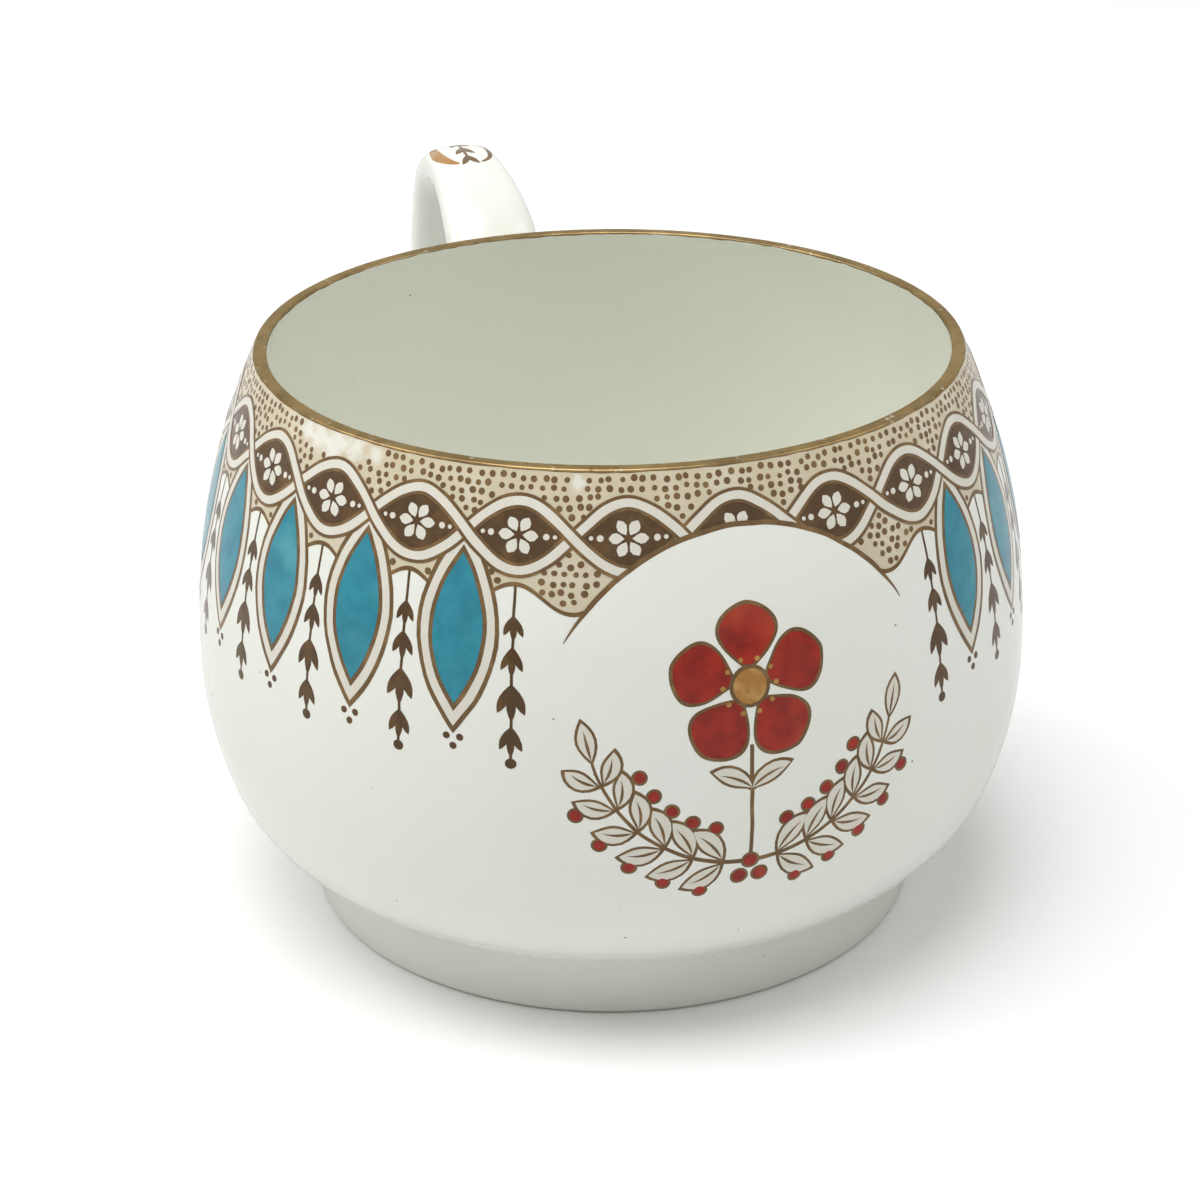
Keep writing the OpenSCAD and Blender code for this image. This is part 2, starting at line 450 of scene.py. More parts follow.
@dataclass(frozen=True)
class Arc:
    """Part of a circle in the plane through the cup's axis, with angles measured up from level."""

    x: float
    z: float
    radius: float
    first: float
    last: float

    @property
    def length(self) -> float:
        """Give the length of the arc."""
        return abs(self.last - self.first) * self.radius

    def at(self, angle: float, lift: float = 0.0) -> tuple[float, float]:
        """Give the point at an angle, lifted off the arc."""
        reach = self.radius + lift
        return self.x + reach * math.cos(angle), self.z + reach * math.sin(angle)

    def along(self, distance: float, lift: float = 0.0) -> tuple[float, float]:
        """Give the point at a distance from the arc's first end, lifted off the arc."""
        way = 1 if self.last > self.first else -1
        return self.at(self.first + way * distance / self.radius, lift)


@dataclass(frozen=True)
class Wall:
    """The bowl's outer wall: three arcs that meet smoothly, from the lip down to the base."""

    height: float
    belly: float
    base: float
    thickness: float = 1.7 * MM
    lip_width: float = 1.3 * MM
    lip_round: float = 0.25 * MM
    upper_arc: float = 70 * MM
    lower_arc: float = 36 * MM
    turn_arc: float = 13 * MM
    turn_angle: float = math.radians(19)

    @classmethod
    def from_frame(cls) -> "Wall":
        """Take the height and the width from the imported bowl."""
        low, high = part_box("bowl")
        return cls(high[2], high[1], low[2])

    @cached_property
    def arcs(self) -> tuple[Arc, Arc, Arc]:
        """Work out the wall's arcs from its sizes.

        Returns:
            The arcs from the lip down.
        """
        turn_z = self.base + self.turn_arc
        inset = self.lower_arc - self.turn_arc
        belly_z = turn_z + inset * math.sin(self.turn_angle)
        lower_x = self.belly - self.lower_arc
        turn_x = lower_x + inset * math.cos(self.turn_angle)
        rise = self.height - self.lip_round - belly_z
        lip_angle = math.asin(rise / (self.upper_arc - self.lip_round))
        return (
            Arc(self.belly - self.upper_arc, belly_z, self.upper_arc, lip_angle, 0.0),
            Arc(lower_x, belly_z, self.lower_arc, 0.0, -self.turn_angle),
            Arc(turn_x, turn_z, self.turn_arc, -self.turn_angle, -math.pi / 2),
        )

    @cached_property
    def inside(self) -> Arc:
        """Work out the inside above the belly, where the wall thins towards the lip.

        Returns:
            The inside's arc.
        """
        upper, curve = self.arcs[0], self.lip_round
        belly, rise = self.belly - self.thickness, self.height - upper.z
        lean = belly - upper.x - math.sqrt(upper.radius ** 2 - rise ** 2) + self.lip_width
        radius = (lean ** 2 + rise ** 2) / (2 * lean)
        return Arc(belly - radius, upper.z, radius, math.asin((rise - curve) / (radius + curve)), 0.0)

    @cached_property
    def lip(self) -> tuple[Arc, Arc]:
        """Work out the rounded edges of the lip's level top.

        Returns:
            The outer edge's arc and the inner one's.
        """
        upper, inside, curve = self.arcs[0], self.inside, self.lip_round
        return (
            Arc(*upper.at(upper.first, -curve), curve, upper.first, math.pi / 2),
            Arc(*inside.at(inside.first, curve), curve, math.pi / 2, inside.first + math.pi),
        )

    @property
    def over(self) -> float:
        """Give the distance over the lip from the outer wall to the inner one."""
        outer, inner = self.lip
        return outer.length + outer.x - inner.x + inner.length

    def over_lip(self, travel: float, lift: float = 0.0) -> tuple[float, float]:
        """Find a point of the section on or beside the lip.

        Args:
            travel: Distance past the top of the outer wall, over the lip and down the inside.
            lift: Distance off the surface.

        Returns:
            The radius and the height there.
        """
        outer, inner = self.lip
        if travel < 0:
            return self.section(-travel, lift)
        if travel < outer.length:
            return outer.along(travel, lift)
        if travel < self.over - inner.length:
            return outer.x - (travel - outer.length), self.height + lift
        if travel < self.over:
            return inner.along(travel - self.over + inner.length, lift)
        return self.inside.along(travel - self.over, -lift)

    def depth_at(self, height: float) -> float:
        """Give the depth along the wall of a height above the belly."""
        upper = self.arcs[0]
        return (upper.first - math.asin((height - upper.z) / upper.radius)) * upper.radius

    def section(self, depth: float, lift: float = 0.0) -> tuple[float, float]:
        """Find a point of the wall's section.

        Args:
            depth: Distance along the wall below the lip's rounded edge.
            lift: Distance off the wall.

        Returns:
            The radius and the height there.
        """
        for arc in self.arcs[:-1]:
            if depth <= arc.length:
                return arc.along(depth, lift)
            depth -= arc.length
        return self.arcs[-1].along(depth, lift)

    def place(self, turn: float, depth: float, lift: float = 0.0) -> Vector:
        """Find the point on the wall at an angle round the cup and a depth, lifted off the wall."""
        return around(turn, *self.section(depth, lift))

    def radius_at(self, height: float) -> float:
        """Find the wall's outside radius.

        Args:
            height: A height between the base and the lip.

        Returns:
            The radius there.
        """
        upper, lower, turn = self.arcs
        arc = upper if height >= upper.z else lower
        if height < lower.at(lower.last)[1]:
            arc = turn
        return arc.x + math.sqrt(max(arc.radius ** 2 - (height - arc.z) ** 2, 0.0))

    def chart(self, turn: float, depth: float) -> Chart:
        """Map a drawing, x to the right, y up and z outward, onto the wall about an angle and a depth."""
        girth = self.section(depth)[0]
        return lambda spot: self.place(turn + spot.x / girth, depth - spot.y, spot.z)


class Drawing:
    """Shapes drawn flat, given thickness and laid on a surface: x to the right, y up and z outward."""

    def __init__(self) -> None:
        """Start with an empty sheet."""
        self.mesh = bmesh.new()
        self.mesh.verts.layers.float_vector.new("facing")

    def band(self, route: Route, width: Width | float, cells: tuple[int, int], lift: Lift | float) -> None:
        """Draw a band along a route.

        Args:
            route: The middle line's point at a share of the way, 0 to 1.
            width: The band's width, alike all along or by share of the way.
            cells: Number of cells along and across.
            lift: Height of its face, alike all over or by share along and side, -1 to 1.
        """
        made = bmesh.ops.create_grid(self.mesh, x_segments=cells[0], y_segments=cells[1], size=1)["verts"]
        for vert in made:
            share, side = (vert.co.x + 1) / 2, vert.co.y
            ahead = route(min(share + 0.01, 1.0)) - route(max(share - 0.01, 0.0))
            across = Vector((-ahead.y, ahead.x, 0)).normalized()
            spot = route(share) + across * side * (width(share) if callable(width) else width) / 2
            spot.z = lift(share, side) if callable(lift) else lift
            vert.co = spot
        bmesh.ops.remove_doubles(self.mesh, verts=made, dist=MERGED)

    def leaf(self, foot: Vector, tip: Vector, width: float, cells: tuple[int, int], lift: Lift | float,
             bow: float = 0.0, fullness: float = 0.0) -> None:
        """Draw a leaf that is pointed at both ends.

        Args:
            foot: One tip.
            tip: The other tip.
            width: Width at the middle.
            cells: Number of cells along and across.
            lift: Height of its face.
            bow: Distance that the middle bows to the left of the way from foot to tip.
            fullness: Shift of the widest place towards the far tip, -1 to 1.
        """
        way = tip - foot
        left = Vector((-way.y, way.x, 0)).normalized()

        def route(share: float) -> Vector:
            """Follow the leaf's rib, closer together near the tips."""
            along = (1 - math.cos(math.pi * share)) / 2
            return foot + way * along + left * bow * 4 * along * (1 - along)

        def breadth(share: float) -> float:
            """Widen to the middle and close at the tips."""
            along = (1 - math.cos(math.pi * share)) / 2
            return width * math.sin(math.pi * share) ** 2 * (1 + fullness * (2 * along - 1))

        self.band(route, breadth, cells, lift)

    def round_patch(self, middle: Vector, radius: float, cells: int, lift: float) -> None:
        """Draw a disc in cells, so that it can bend with the wall."""
        self.band(lambda share: middle - Vector((radius * math.cos(math.pi * share), 0, 0)),
                  lambda share: 2 * radius * math.sin(math.pi * share), (cells, cells), lift)

    def dot(self, middle: Vector, radius: float, sides: int, lift: float) -> None:
        """Draw a small dot."""
        where = Matrix.Translation((middle.x, middle.y, lift))
        bmesh.ops.create_circle(self.mesh, cap_ends=True, radius=radius, segments=sides, matrix=where)

    def laid(self, chart: Chart) -> BMesh:
        """Give the sheet its thickness and lay it on a surface.

        Args:
            chart: The map from the drawing to the surface.

        Returns:
            The mesh, whose points carry the surface's own direction.
        """
        self.mesh.normal_update()
        bmesh.ops.reverse_faces(self.mesh, faces=[face for face in self.mesh.faces if face.normal.z < 0])
        sheet = self.mesh.verts[:]
        bmesh.ops.extrude_face_region(self.mesh, geom=self.mesh.faces[:])
        for vert in sheet:
            vert.co.z = BEDDED
        facing = self.mesh.verts.layers.float_vector["facing"]
        for vert in self.mesh.verts:
            spot = vert.co.copy()
            vert.co = chart(spot)
            vert[facing] = (chart(spot + Vector((0, 0, MM))) - vert.co).normalized()
        return self.mesh

    def repeated(self, chart: Chart, turns: Iterable[float]) -> BMesh:
        """Lay the sheet at several angles round the cup.

        Args:
            chart: The map from the drawing to the wall at angle 0.
            turns: The angles.

        Returns:
            The mesh of all the copies.
        """
        self.laid(chart)
        facing = self.mesh.verts.layers.float_vector["facing"]
        pattern = self.mesh.verts[:] + self.mesh.edges[:] + self.mesh.faces[:]
        for turn in turns:
            copy = bmesh.ops.duplicate(self.mesh, geom=pattern)["geom"]
            spun = Matrix.Rotation(turn, 3, "Z")
            verts = [item for item in copy if isinstance(item, BMVert)]
            bmesh.ops.rotate(self.mesh, verts=verts, cent=(0, 0, 0), matrix=spun)
            for vert in verts:
                vert[facing] = spun @ vert[facing]
        verts = [item for item in pattern if isinstance(item, BMVert)]
        bmesh.ops.delete(self.mesh, geom=verts, context="VERTS")
        return self.mesh


def poured(whole: BMesh, *meshes: BMesh) -> BMesh:
    """Add meshes to another one.

    Args:
        whole: The mesh that takes them.
        meshes: The meshes, which are used up.

    Returns:
        The mesh with all of them.
    """
    for mesh in meshes:
        part = bpy.data.meshes.new("part")
        mesh.to_mesh(part)
        mesh.free()
        whole.from_mesh(part)
        bpy.data.meshes.remove(part)
    return whole


def wrapped(columns: int, rows: int, spot: Spot, ring: bool = True) -> BMesh:
    """Wrap a grid into a closed ring or tube.

    Args:
        columns: Number of cells along.
        rows: Number of cells round the section.
        spot: The place of a point by its column and row.
        ring: Whether the far end meets the near end.

    Returns:
        The closed mesh, with the open ends of a tube capped.
    """
    mesh = bmesh.new()
    for vert in bmesh.ops.create_grid(mesh, x_segments=columns, y_segments=rows, size=1)["verts"]:
        column, row = round((vert.co.x + 1) / 2 * columns), round((vert.co.y + 1) / 2 * rows)
        vert.co = spot(column % columns if ring else column, row % rows)
    bmesh.ops.remove_doubles(mesh, verts=mesh.verts[:], dist=MERGED)
    if not ring:
        bmesh.ops.holes_fill(mesh, edges=mesh.edges[:], sides=0)
    bmesh.ops.recalc_face_normals(mesh, faces=mesh.faces[:])
    return mesh


def folded(row: int, rows: int, face: int, lift: float) -> tuple[float, float]:
    """Give the share across a thin ring and the height of a row, over its face and then back below it."""
    return (row / face, lift) if row <= face else ((rows - row) / (rows - face), BEDDED)


class Lathe:
    """A section drawn point by point in the XZ plane, then spun about the cup's axis."""

    def __init__(self, x: float, z: float) -> None:
        """Start the section at a point."""
        self.mesh = bmesh.new()
        self.first = self.tip = self.mesh.verts.new((x, 0, z))

    def line(self, x: float, z: float, steps: int = 1) -> None:
        """Draw a straight stretch.

        Args:
            x: Radius of its end.
            z: Height of its end.
            steps: Number of steps.
        """
        start = self.tip.co.copy()
        for step in range(1, steps + 1):
            made = bmesh.ops.extrude_vert_indiv(self.mesh, verts=[self.tip])["verts"]
            self.tip = made[0]
            self.tip.co = start.lerp(Vector((x, 0, z)), step / steps)

    def arc(self, x: float, z: float, sweep: float, steps: int) -> None:
        """Draw an arc about a centre.

        Args:
            x: Radius of the centre.
            z: Height of the centre.
            sweep: Angle of the arc, positive from level upward.
            steps: Number of steps.
        """
        made = bmesh.ops.spin(self.mesh, geom=[self.tip], cent=(x, 0, z), axis=(0, 1, 0),
                              angle=-sweep, steps=steps)
        self.tip = next(item for item in made["geom_last"] if isinstance(item, BMVert))

    def spun(self, segments: int, closed: bool = True) -> BMesh:
        """Spin the section all the way round.

        Args:
            segments: Number of steps round the axis.
            closed: Whether the section's end joins its start.

        Returns:
            The closed mesh.
        """
        if closed:
            self.mesh.edges.new((self.tip, self.first))
        geometry = self.mesh.verts[:] + self.mesh.edges[:]
        bmesh.ops.spin(self.mesh, geom=geometry, cent=(0, 0, 0), axis=(0, 0, 1), angle=math.tau,
                       steps=segments, use_merge=True)
        bmesh.ops.remove_doubles(self.mesh, verts=self.mesh.verts[:], dist=MERGED)
        bmesh.ops.recalc_face_normals(self.mesh, faces=self.mesh.faces[:])
        return self.mesh


class SubAssembly:
    """A group of pieces that are built and dressed together."""

    def fitted(self, name: str, mesh: BMesh, finish: Finish, *nodes: str) -> None:
        """Turn a mesh into a dressed piece that rides on the cup.

        Args:
            name: The piece's name.
            mesh: Its shape, which is used up.
            finish: Its finish.
            nodes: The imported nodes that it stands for.
        """
        bmesh.ops.triangulate(mesh, faces=[face for face in mesh.faces if len(face.verts) > 4])
        facing = mesh.verts.layers.float_vector.get("facing")
        normals = [Vector(vert[facing]) for vert in mesh.verts] if facing else []
        for vert, normal in zip(mesh.verts, normals):
            drift = noise.noise_vector(vert.co / WAVER_SPAN) * WAVER
            vert.co += drift - normal * drift.dot(normal)
        shape = bpy.data.meshes.new(name)
        mesh.to_mesh(shape)
        mesh.free()
        shape.shade_smooth()
        if normals:
            shape.attributes.remove(shape.attributes["facing"])
            shape.normals_split_custom_set_from_vertices(normals)
        shape.materials.append(finish.material())
        piece = bpy.data.objects.new(name, shape)
        bpy.context.scene.collection.objects.link(piece)
        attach(piece, BODY)
        if nodes:
            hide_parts(*nodes)
        LOG.info("%s: %d faces", name, len(shape.polygons))


@dataclass
class Bowl(SubAssembly):
    """The thrown bowl and the gilding on its lip."""

    wall: Wall
    segments: int = 300
    gilt_lift: float = 0.02 * MM
    gilt_outside: float = 0.1 * MM
    gilt_inside: float = -0.12 * MM
    gilt_waver: float = 0.1 * MM

    def build(self) -> None:
        """Build the bowl and gild its lip."""
        self.fitted("china_bowl", self._body(), CHINA, "bowl")
        self.fitted("lip_gilding", self._gilding(), GILT, "rim_gilding")

    def _body(self) -> BMesh:
        """Turn the bowl: under its base, up its wall, over its lip and down inside.

        Returns:
            The closed bowl.
        """
        wall = self.wall
        upper, lower, turn = wall.arcs
        outer, inner = wall.lip
        lathe = Lathe(0, wall.base)
        lathe.line(turn.x, wall.base, 8)
        for arc, steps in ((turn, 24), (lower, 18), (upper, 48)):
            lathe.arc(arc.x, arc.z, arc.first - arc.last, steps)
        lathe.arc(outer.x, outer.z, outer.last - outer.first, 6)
        lathe.line(inner.x, wall.height, 3)
        for arc, steps in ((inner, 8), (wall.inside, 44), (lower, 14), (turn, 20)):
            lathe.arc(arc.x, arc.z, arc.last - arc.first, steps)
        lathe.line(0, wall.base + wall.thickness, 8)
        return lathe.spun(self.segments, False)

    def _gilding(self) -> BMesh:
        """Lay gilding over the lip, with a brushed lower edge on each side.

        Returns:
            The closed ring.
        """
        columns, rows, face = 480, 24, 20

        def edge(turn: float, side: float) -> float:
            """Give the unevenness of the gilding's edge on one side at an angle."""
            ring = around(turn, 1.0, side)
            return self.gilt_waver * (noise.noise(ring * 5) + 0.8 * noise.noise(ring * 23))

        def spot(column: int, row: int) -> Vector:
            """Find a point of the ring.

            Args:
                column: Step round the cup.
                row: Step over the gilding's face and back below it.

            Returns:
                The point.
            """
            turn = math.tau * column / columns
            share, lift = folded(row, rows, face, self.gilt_lift)
            low = -self.gilt_outside - edge(turn, 0.0)
            high = self.wall.over + self.gilt_inside + edge(turn, 5.0)
            return around(turn, *self.wall.over_lip(low + (high - low) * share, lift))

        return wrapped(columns, rows, spot)


@dataclass
class Foot(SubAssembly):
    """The turned foot ring and the slip that sticks it to the bowl."""

    wall: Wall
    outside: float
    thickness: float = 2.6 * MM
    rounding: float = 0.6 * MM
    cove: float = 1.0 * MM
    bed: float = 0.3 * MM
    film: float = 0.05 * MM
    segments: int = 240

    @classmethod
    def from_frame(cls, wall: Wall) -> "Foot":
        """Take the foot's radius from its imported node."""
        return cls(wall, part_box("foot_ring")[1][1])

    @property
    def inside(self) -> float:
        """Give the ring's inside radius."""
        return self.outside - self.thickness

    def build(self) -> None:
        """Build the ring and its slip."""
        self.fitted("china_foot", self._ring(), FOOT_CHINA_PAINTED_SHADE, "foot_ring")
        self.fitted("foot_slip", poured(self._outer_cove(), self._inner_cove()), SLIP, "foot_slip_joint")

    def _ring(self) -> BMesh:
        """Turn the foot ring, with its top set a little into the bowl.

        Returns:
            The closed ring.
        """
        out, curve, turn = self.outside, self.rounding, self.wall.arcs[2]
        lathe = Lathe(out, turn.z - math.sqrt((turn.radius - self.bed) ** 2 - (out - turn.x) ** 2))
        lathe.line(out, curve, 5)
        lathe.arc(out - curve, curve, -math.pi / 2, 6)
        lathe.line(self.inside + curve, 0, 2)
        lathe.arc(self.inside + curve, curve, -math.pi / 2, 6)
        lathe.line(self.inside, self.wall.base + self.bed, 5)
        return lathe.spun(self.segments)

    def _outer_cove(self) -> BMesh:
        """Turn the hollow fillet of slip between the foot's outside and the bowl.

        Returns:
            The closed fillet.
        """
        turn = self.wall.arcs[2]
        x = self.outside + self.cove
        z = turn.z - math.sqrt((turn.radius + self.cove) ** 2 - (x - turn.x) ** 2)
        end = math.atan2(turn.z - z, turn.x - x)
        lathe = Lathe(self.outside - self.film, z - self.cove)
        lathe.line(self.outside, z)
        lathe.arc(x, z, end - math.pi, 8)
        lathe.line(*turn.at(end - math.pi + self.cove / turn.radius, -self.film))
        lathe.line(*turn.at(end - math.pi, -self.bed))
        lathe.line(self.outside - self.bed, z)
        return lathe.spun(self.segments)

    def _inner_cove(self) -> BMesh:
        """Turn the hollow fillet of slip between the foot's inside and the base.

        Returns:
            The closed fillet.
        """
        inside, base = self.inside, self.wall.base
        lathe = Lathe(inside + self.film, base - 2 * self.cove)
        lathe.line(inside, base - self.cove)
        lathe.arc(inside - self.cove, base - self.cove, math.pi / 2, 8)
        lathe.line(inside - 2 * self.cove, base + self.film)
        lathe.line(inside - self.cove, base + self.bed)
        lathe.line(inside + self.bed, base + self.bed)
        return lathe.spun(self.segments)


class End(IntEnum):
    """The strap's two ends."""

    UPPER = 0
    LOWER = 1


@dataclass(frozen=True)
class Bend:
    """One arc of the strap's middle line, from one heading to another in degrees above level."""

    radius: float
    first: float
    last: float

    @property
    def span(self) -> float:
        """Give the length of the bend."""
        return self.radius * math.radians(self.first - self.last)

    def gone(self, travel: float) -> tuple[float, float, float]:
        """Follow the bend.

        Args:
            travel: Distance along it.

        Returns:
            How far that goes outward and upward, and the heading there.
        """
        first = math.radians(self.first)
        heading = first - travel / self.radius
        outward = self.radius * (math.sin(first) - math.sin(heading))
        return outward, self.radius * (math.cos(heading) - math.cos(first)), heading


@dataclass
class Strap(SubAssembly):
    """The pressed strap handle, the slip at its two ends and the brushwork on its crown."""

    wall: Wall
    crown_width: float = 8 * MM
    end_width: float = 10 * MM
    thickness: float = 4.2 * MM
    crown_x: float = 54.5 * MM
    crown_z: float = 58.7 * MM
    # From the upper end to the lower
    bends: tuple[Bend, ...] = (
        Bend(18 * MM, 45, 0), Bend(7 * MM, 0, -66), Bend(40 * MM, -66, -100), Bend(13 * MM, -100, -172))
    power: float = 0.75
    bed: float = 0.3 * MM
    # How far the wall is looked for beyond an end, and the number of times that distance is halved
    probe: float = 30 * MM
    halvings: int = 40
    collar: float = 1.3 * MM
    run_out: float = 1.95 * MM
    film: float = 0.04 * MM
    brushed: float = 0.032 * MM
    comma: float = 1.15 * MM
    tail: float = 0.85 * MM
    # Half length of the marks along the crown's edges, their distance from the middle and how far they bow
    mark: tuple[float, float, float] = (3.8 * MM, 1.0 * MM, 2.0 * MM)
    # Where the sprig's stem starts and ends, where its pairs of leaves start and how far each leaf goes
    stem: tuple[float, float] = (-3.4 * MM, 4.8 * MM)
    pairs: tuple[float, ...] = (-2.2 * MM, 0.2 * MM, 2.6 * MM)
    leaf: tuple[float, float] = (-1.9 * MM, 1.1 * MM)
    # Place and radius of each bead beyond the sprig
    beads: tuple[tuple[float, float], ...] = (
        (5.8 * MM, 0.5 * MM), (7.4 * MM, 0.42 * MM), (8.8 * MM, 0.36 * MM))
    sides: int = 44

    def build(self) -> None:
        """Build the strap, its slip and its brushwork."""
        self.fitted("china_handle", self._body(), CHINA, "handle")
        self.fitted("upper_slip", self._collar(End.UPPER), SLIP, "upper_slip_joint")
        self.fitted("lower_slip", self._collar(End.LOWER), SLIP, "lower_slip_joint")
        self.fitted("handle_comma", self._comma(), OCHRE)
        self.fitted("handle_brushwork", self._brushwork(), SEPIA)

    @property
    def length(self) -> float:
        """Give the length of the middle line between the straight ends."""
        return sum(bend.span for bend in self.bends)

    @property
    def crown(self) -> float:
        """Give the distance along the middle line from its upper end to the crown."""
        return self.bends[0].span

    @cached_property
    def _starts(self) -> list[tuple[float, float]]:
        """Work out where each bend starts, from where the crown is.

        Returns:
            The first point of each bend, and the lower end.
        """
        outward, upward, _ = self.bends[0].gone(self.crown)
        points = [(self.crown_x - outward, self.crown_z - upward)]
        for bend in self.bends:
            outward, upward, _ = bend.gone(bend.span)
            points.append((points[-1][0] + outward, points[-1][1] + upward))
        return points

    def station(self, travel: float) -> tuple[Vector, float, float]:
        """Find a section of the strap.

        Args:
            travel: Distance along the middle line from its upper end.

        Returns:
            The section's middle, its heading and its width.
        """
        heel = self.length - self.bends[-1].span
        share = min(max(1 - travel / self.crown, (travel - heel) / self.bends[-1].span, 0.0), 1.0)
        width = self.crown_width + (self.end_width - self.crown_width) * share * share * (3 - 2 * share)
        for bend, (x, z) in zip(self.bends, self._starts):
            if travel <= bend.span or bend is self.bends[-1]:
                break
            travel -= bend.span
        outward, upward, heading = bend.gone(travel)
        return Vector((x + outward, 0, z + upward)), heading, width

    def _rim(self, travel: float, about: float) -> Vector:
        """Find a point on the strap's surface.

        Args:
            travel: Distance along the middle line from its upper end.
            about: Share round the section.

        Returns:
            The point.
        """
        middle, heading, width = self.station(travel)
        turn = about * math.tau
        out = math.copysign(abs(math.cos(turn)) ** self.power, math.cos(turn)) * self.thickness / 2
        side = math.copysign(abs(math.sin(turn)) ** self.power, math.sin(turn)) * width / 2
        return middle + Vector((-math.sin(heading) * out, side, math.cos(heading) * out))

    def _landing(self, end: End, about: float, depth: float) -> tuple[Vector, Vector]:
        """Find where a line of the strap's surface runs into the wall.

        Args:
            end: The strap's end.
            about: Share round the section.
            depth: Depth inside the wall at which the line stops.

        Returns:
            The point, and the direction out along the strap.
        """
        start = self._rim(end * self.length, about)
        heading = self.station(end * self.length)[1]
        out = Vector((math.cos(heading), 0, math.sin(heading))) * (1 - 2 * end)
        near, far = 0.0, self.probe
        for _ in range(self.halvings):
            middle = (near + far) / 2
            spot = start - out * middle
            inside = math.hypot(spot.x, spot.y) < self.wall.radius_at(spot.z) - depth
            near, far = (near, middle) if inside else (middle, far)
        return start - out * near, out

    def _body(self) -> BMesh:
        """Sweep the strap's oval section from wall to wall.

        Returns:
            The closed strap.
        """
        columns, ends = 132, 4

        def spot(column: int, row: int) -> Vector:
            """Find a point of the strap, which is straight at each end until it is bedded in the wall.

            Args:
                column: Step along the strap.
                row: Step round its section.

            Returns:
                The point.
            """
            about = row / self.sides
            for end, place in ((End.UPPER, column), (End.LOWER, columns - column)):
                if place < ends:
                    landing = self._landing(end, about, self.bed)[0]
                    return landing.lerp(self._rim(end * self.length, about), place / ends)
            return self._rim(self.length * (column - ends) / (columns - 2 * ends), about)

        return wrapped(columns, self.sides, spot, False)

    def _off_wall(self, point: Vector, lift: float) -> Vector:
        """Move a point level with itself to a distance off the wall."""
        reach = self.wall.radius_at(point.z) + lift
        return Vector((*point.xy.normalized() * reach, point.z))

    def _collar(self, end: End) -> BMesh:
        """Build the hollow fillet of slip round one end of the strap, which runs out under both surfaces.

        Args:
            end: The strap's end.

        Returns:
            The closed collar.
        """
        rows = 14
        landings = [self._landing(end, i / self.sides, 0.0) for i in range(self.sides)]
        heart = sum((foot for foot, _ in landings), Vector()) / self.sides

        def spot(column: int, row: int) -> Vector:
            """Find a point of the collar.

            Args:
                column: Step round the strap.
                row: Step down the fillet's face and back below it.

            Returns:
                The point.
            """
            foot, out = landings[column]
            facing = Vector((foot.x, foot.y, 0)).normalized()
            away = foot - heart
            away = (away - facing * away.dot(facing)).normalized()
            if row == 0:
                return foot + out * self.run_out - away * self.film
            if row == rows - 1:
                return foot - (facing + away) * self.bed
            if row == rows - 2:
                return self._off_wall(foot + away * self.run_out, -self.film)
            share = (row - 1) / (rows - 4)
            edge = self._off_wall(foot + away * self.collar, 0.0)
            return (foot + out * self.collar).lerp(foot, share).lerp(foot.lerp(edge, share), share)

        return wrapped(self.sides, rows, spot)

    def _on_crown(self, spot: Vector) -> Vector:
        """Put a drawn point on the strap's domed outer face.

        Args:
            spot: The point, x along the strap from the crown, y across it and z outward.

        Returns:
            Its place.
        """
        middle, heading, width = self.station(self.crown + spot.x)
        side = min(abs(spot.y) / (width / 2), 1.0)
        out = self.thickness / 2 * (1 - side ** (2 / self.power)) ** (self.power / 2) + spot.z
        return middle + Vector((-math.sin(heading) * out, spot.y, math.cos(heading) * out))

    def _edge_curve(self, share: float, side: int) -> Vector:
        """Follow a shallow curve along one edge of the crown, which turns in at its ends."""
        (reach, inset, bow), angle = self.mark, math.radians(15 + 155 * share)
        return Vector((reach * math.cos(angle), side * (inset + bow * math.sin(angle)), 0))

    def _comma(self) -> BMesh:
        """Brush a broad comma along one edge of the crown.

        Returns:
            The laid stroke.
        """
        sheet = Drawing()
        sheet.band(lambda s: self._edge_curve(s, 1),
                   lambda s: self.comma * math.sin(math.pi * (0.04 + 0.92 * s) ** 1.4) ** 0.8,
                   (48, 8), self.brushed)
        return sheet.laid(self._on_crown)

    def _brushwork(self) -> BMesh:
        """Brush a sprig along the crown, a thin line along its other edge, and beads and a tail down the bow.

        Returns:
            The laid strokes.
        """
        sheet, lift, (first, last) = Drawing(), self.brushed, self.stem
        sheet.band(lambda s: self._edge_curve(s, -1),
                   lambda s: (0.25 + 0.3 * math.sin(math.pi * s)) * MM, (48, 4), lift)
        sheet.band(lambda s: Vector((first + (last - first) * s, 0, 0)), 0.32 * MM, (24, 2), lift)
        for x in self.pairs:
            for side in (-1, 1):
                foot = Vector((x, 0, 0))
                tip = foot + Vector((self.leaf[0], side * self.leaf[1], 0))
                sheet.leaf(foot, tip, 0.75 * MM, (12, 6), lift, side * 0.15 * MM)
        for x, radius in self.beads:
            sheet.round_patch(Vector((x, 0, 0)), radius, 10, lift)
        sheet.band(lambda s: Vector((10 + 9 * s, 0.5 * math.sin(math.tau * s), 0)) * MM,
                   lambda s: self.tail * math.sin(math.pi * s ** 0.6) ** 0.7, (36, 4), lift)
        return sheet.laid(self._on_crown)


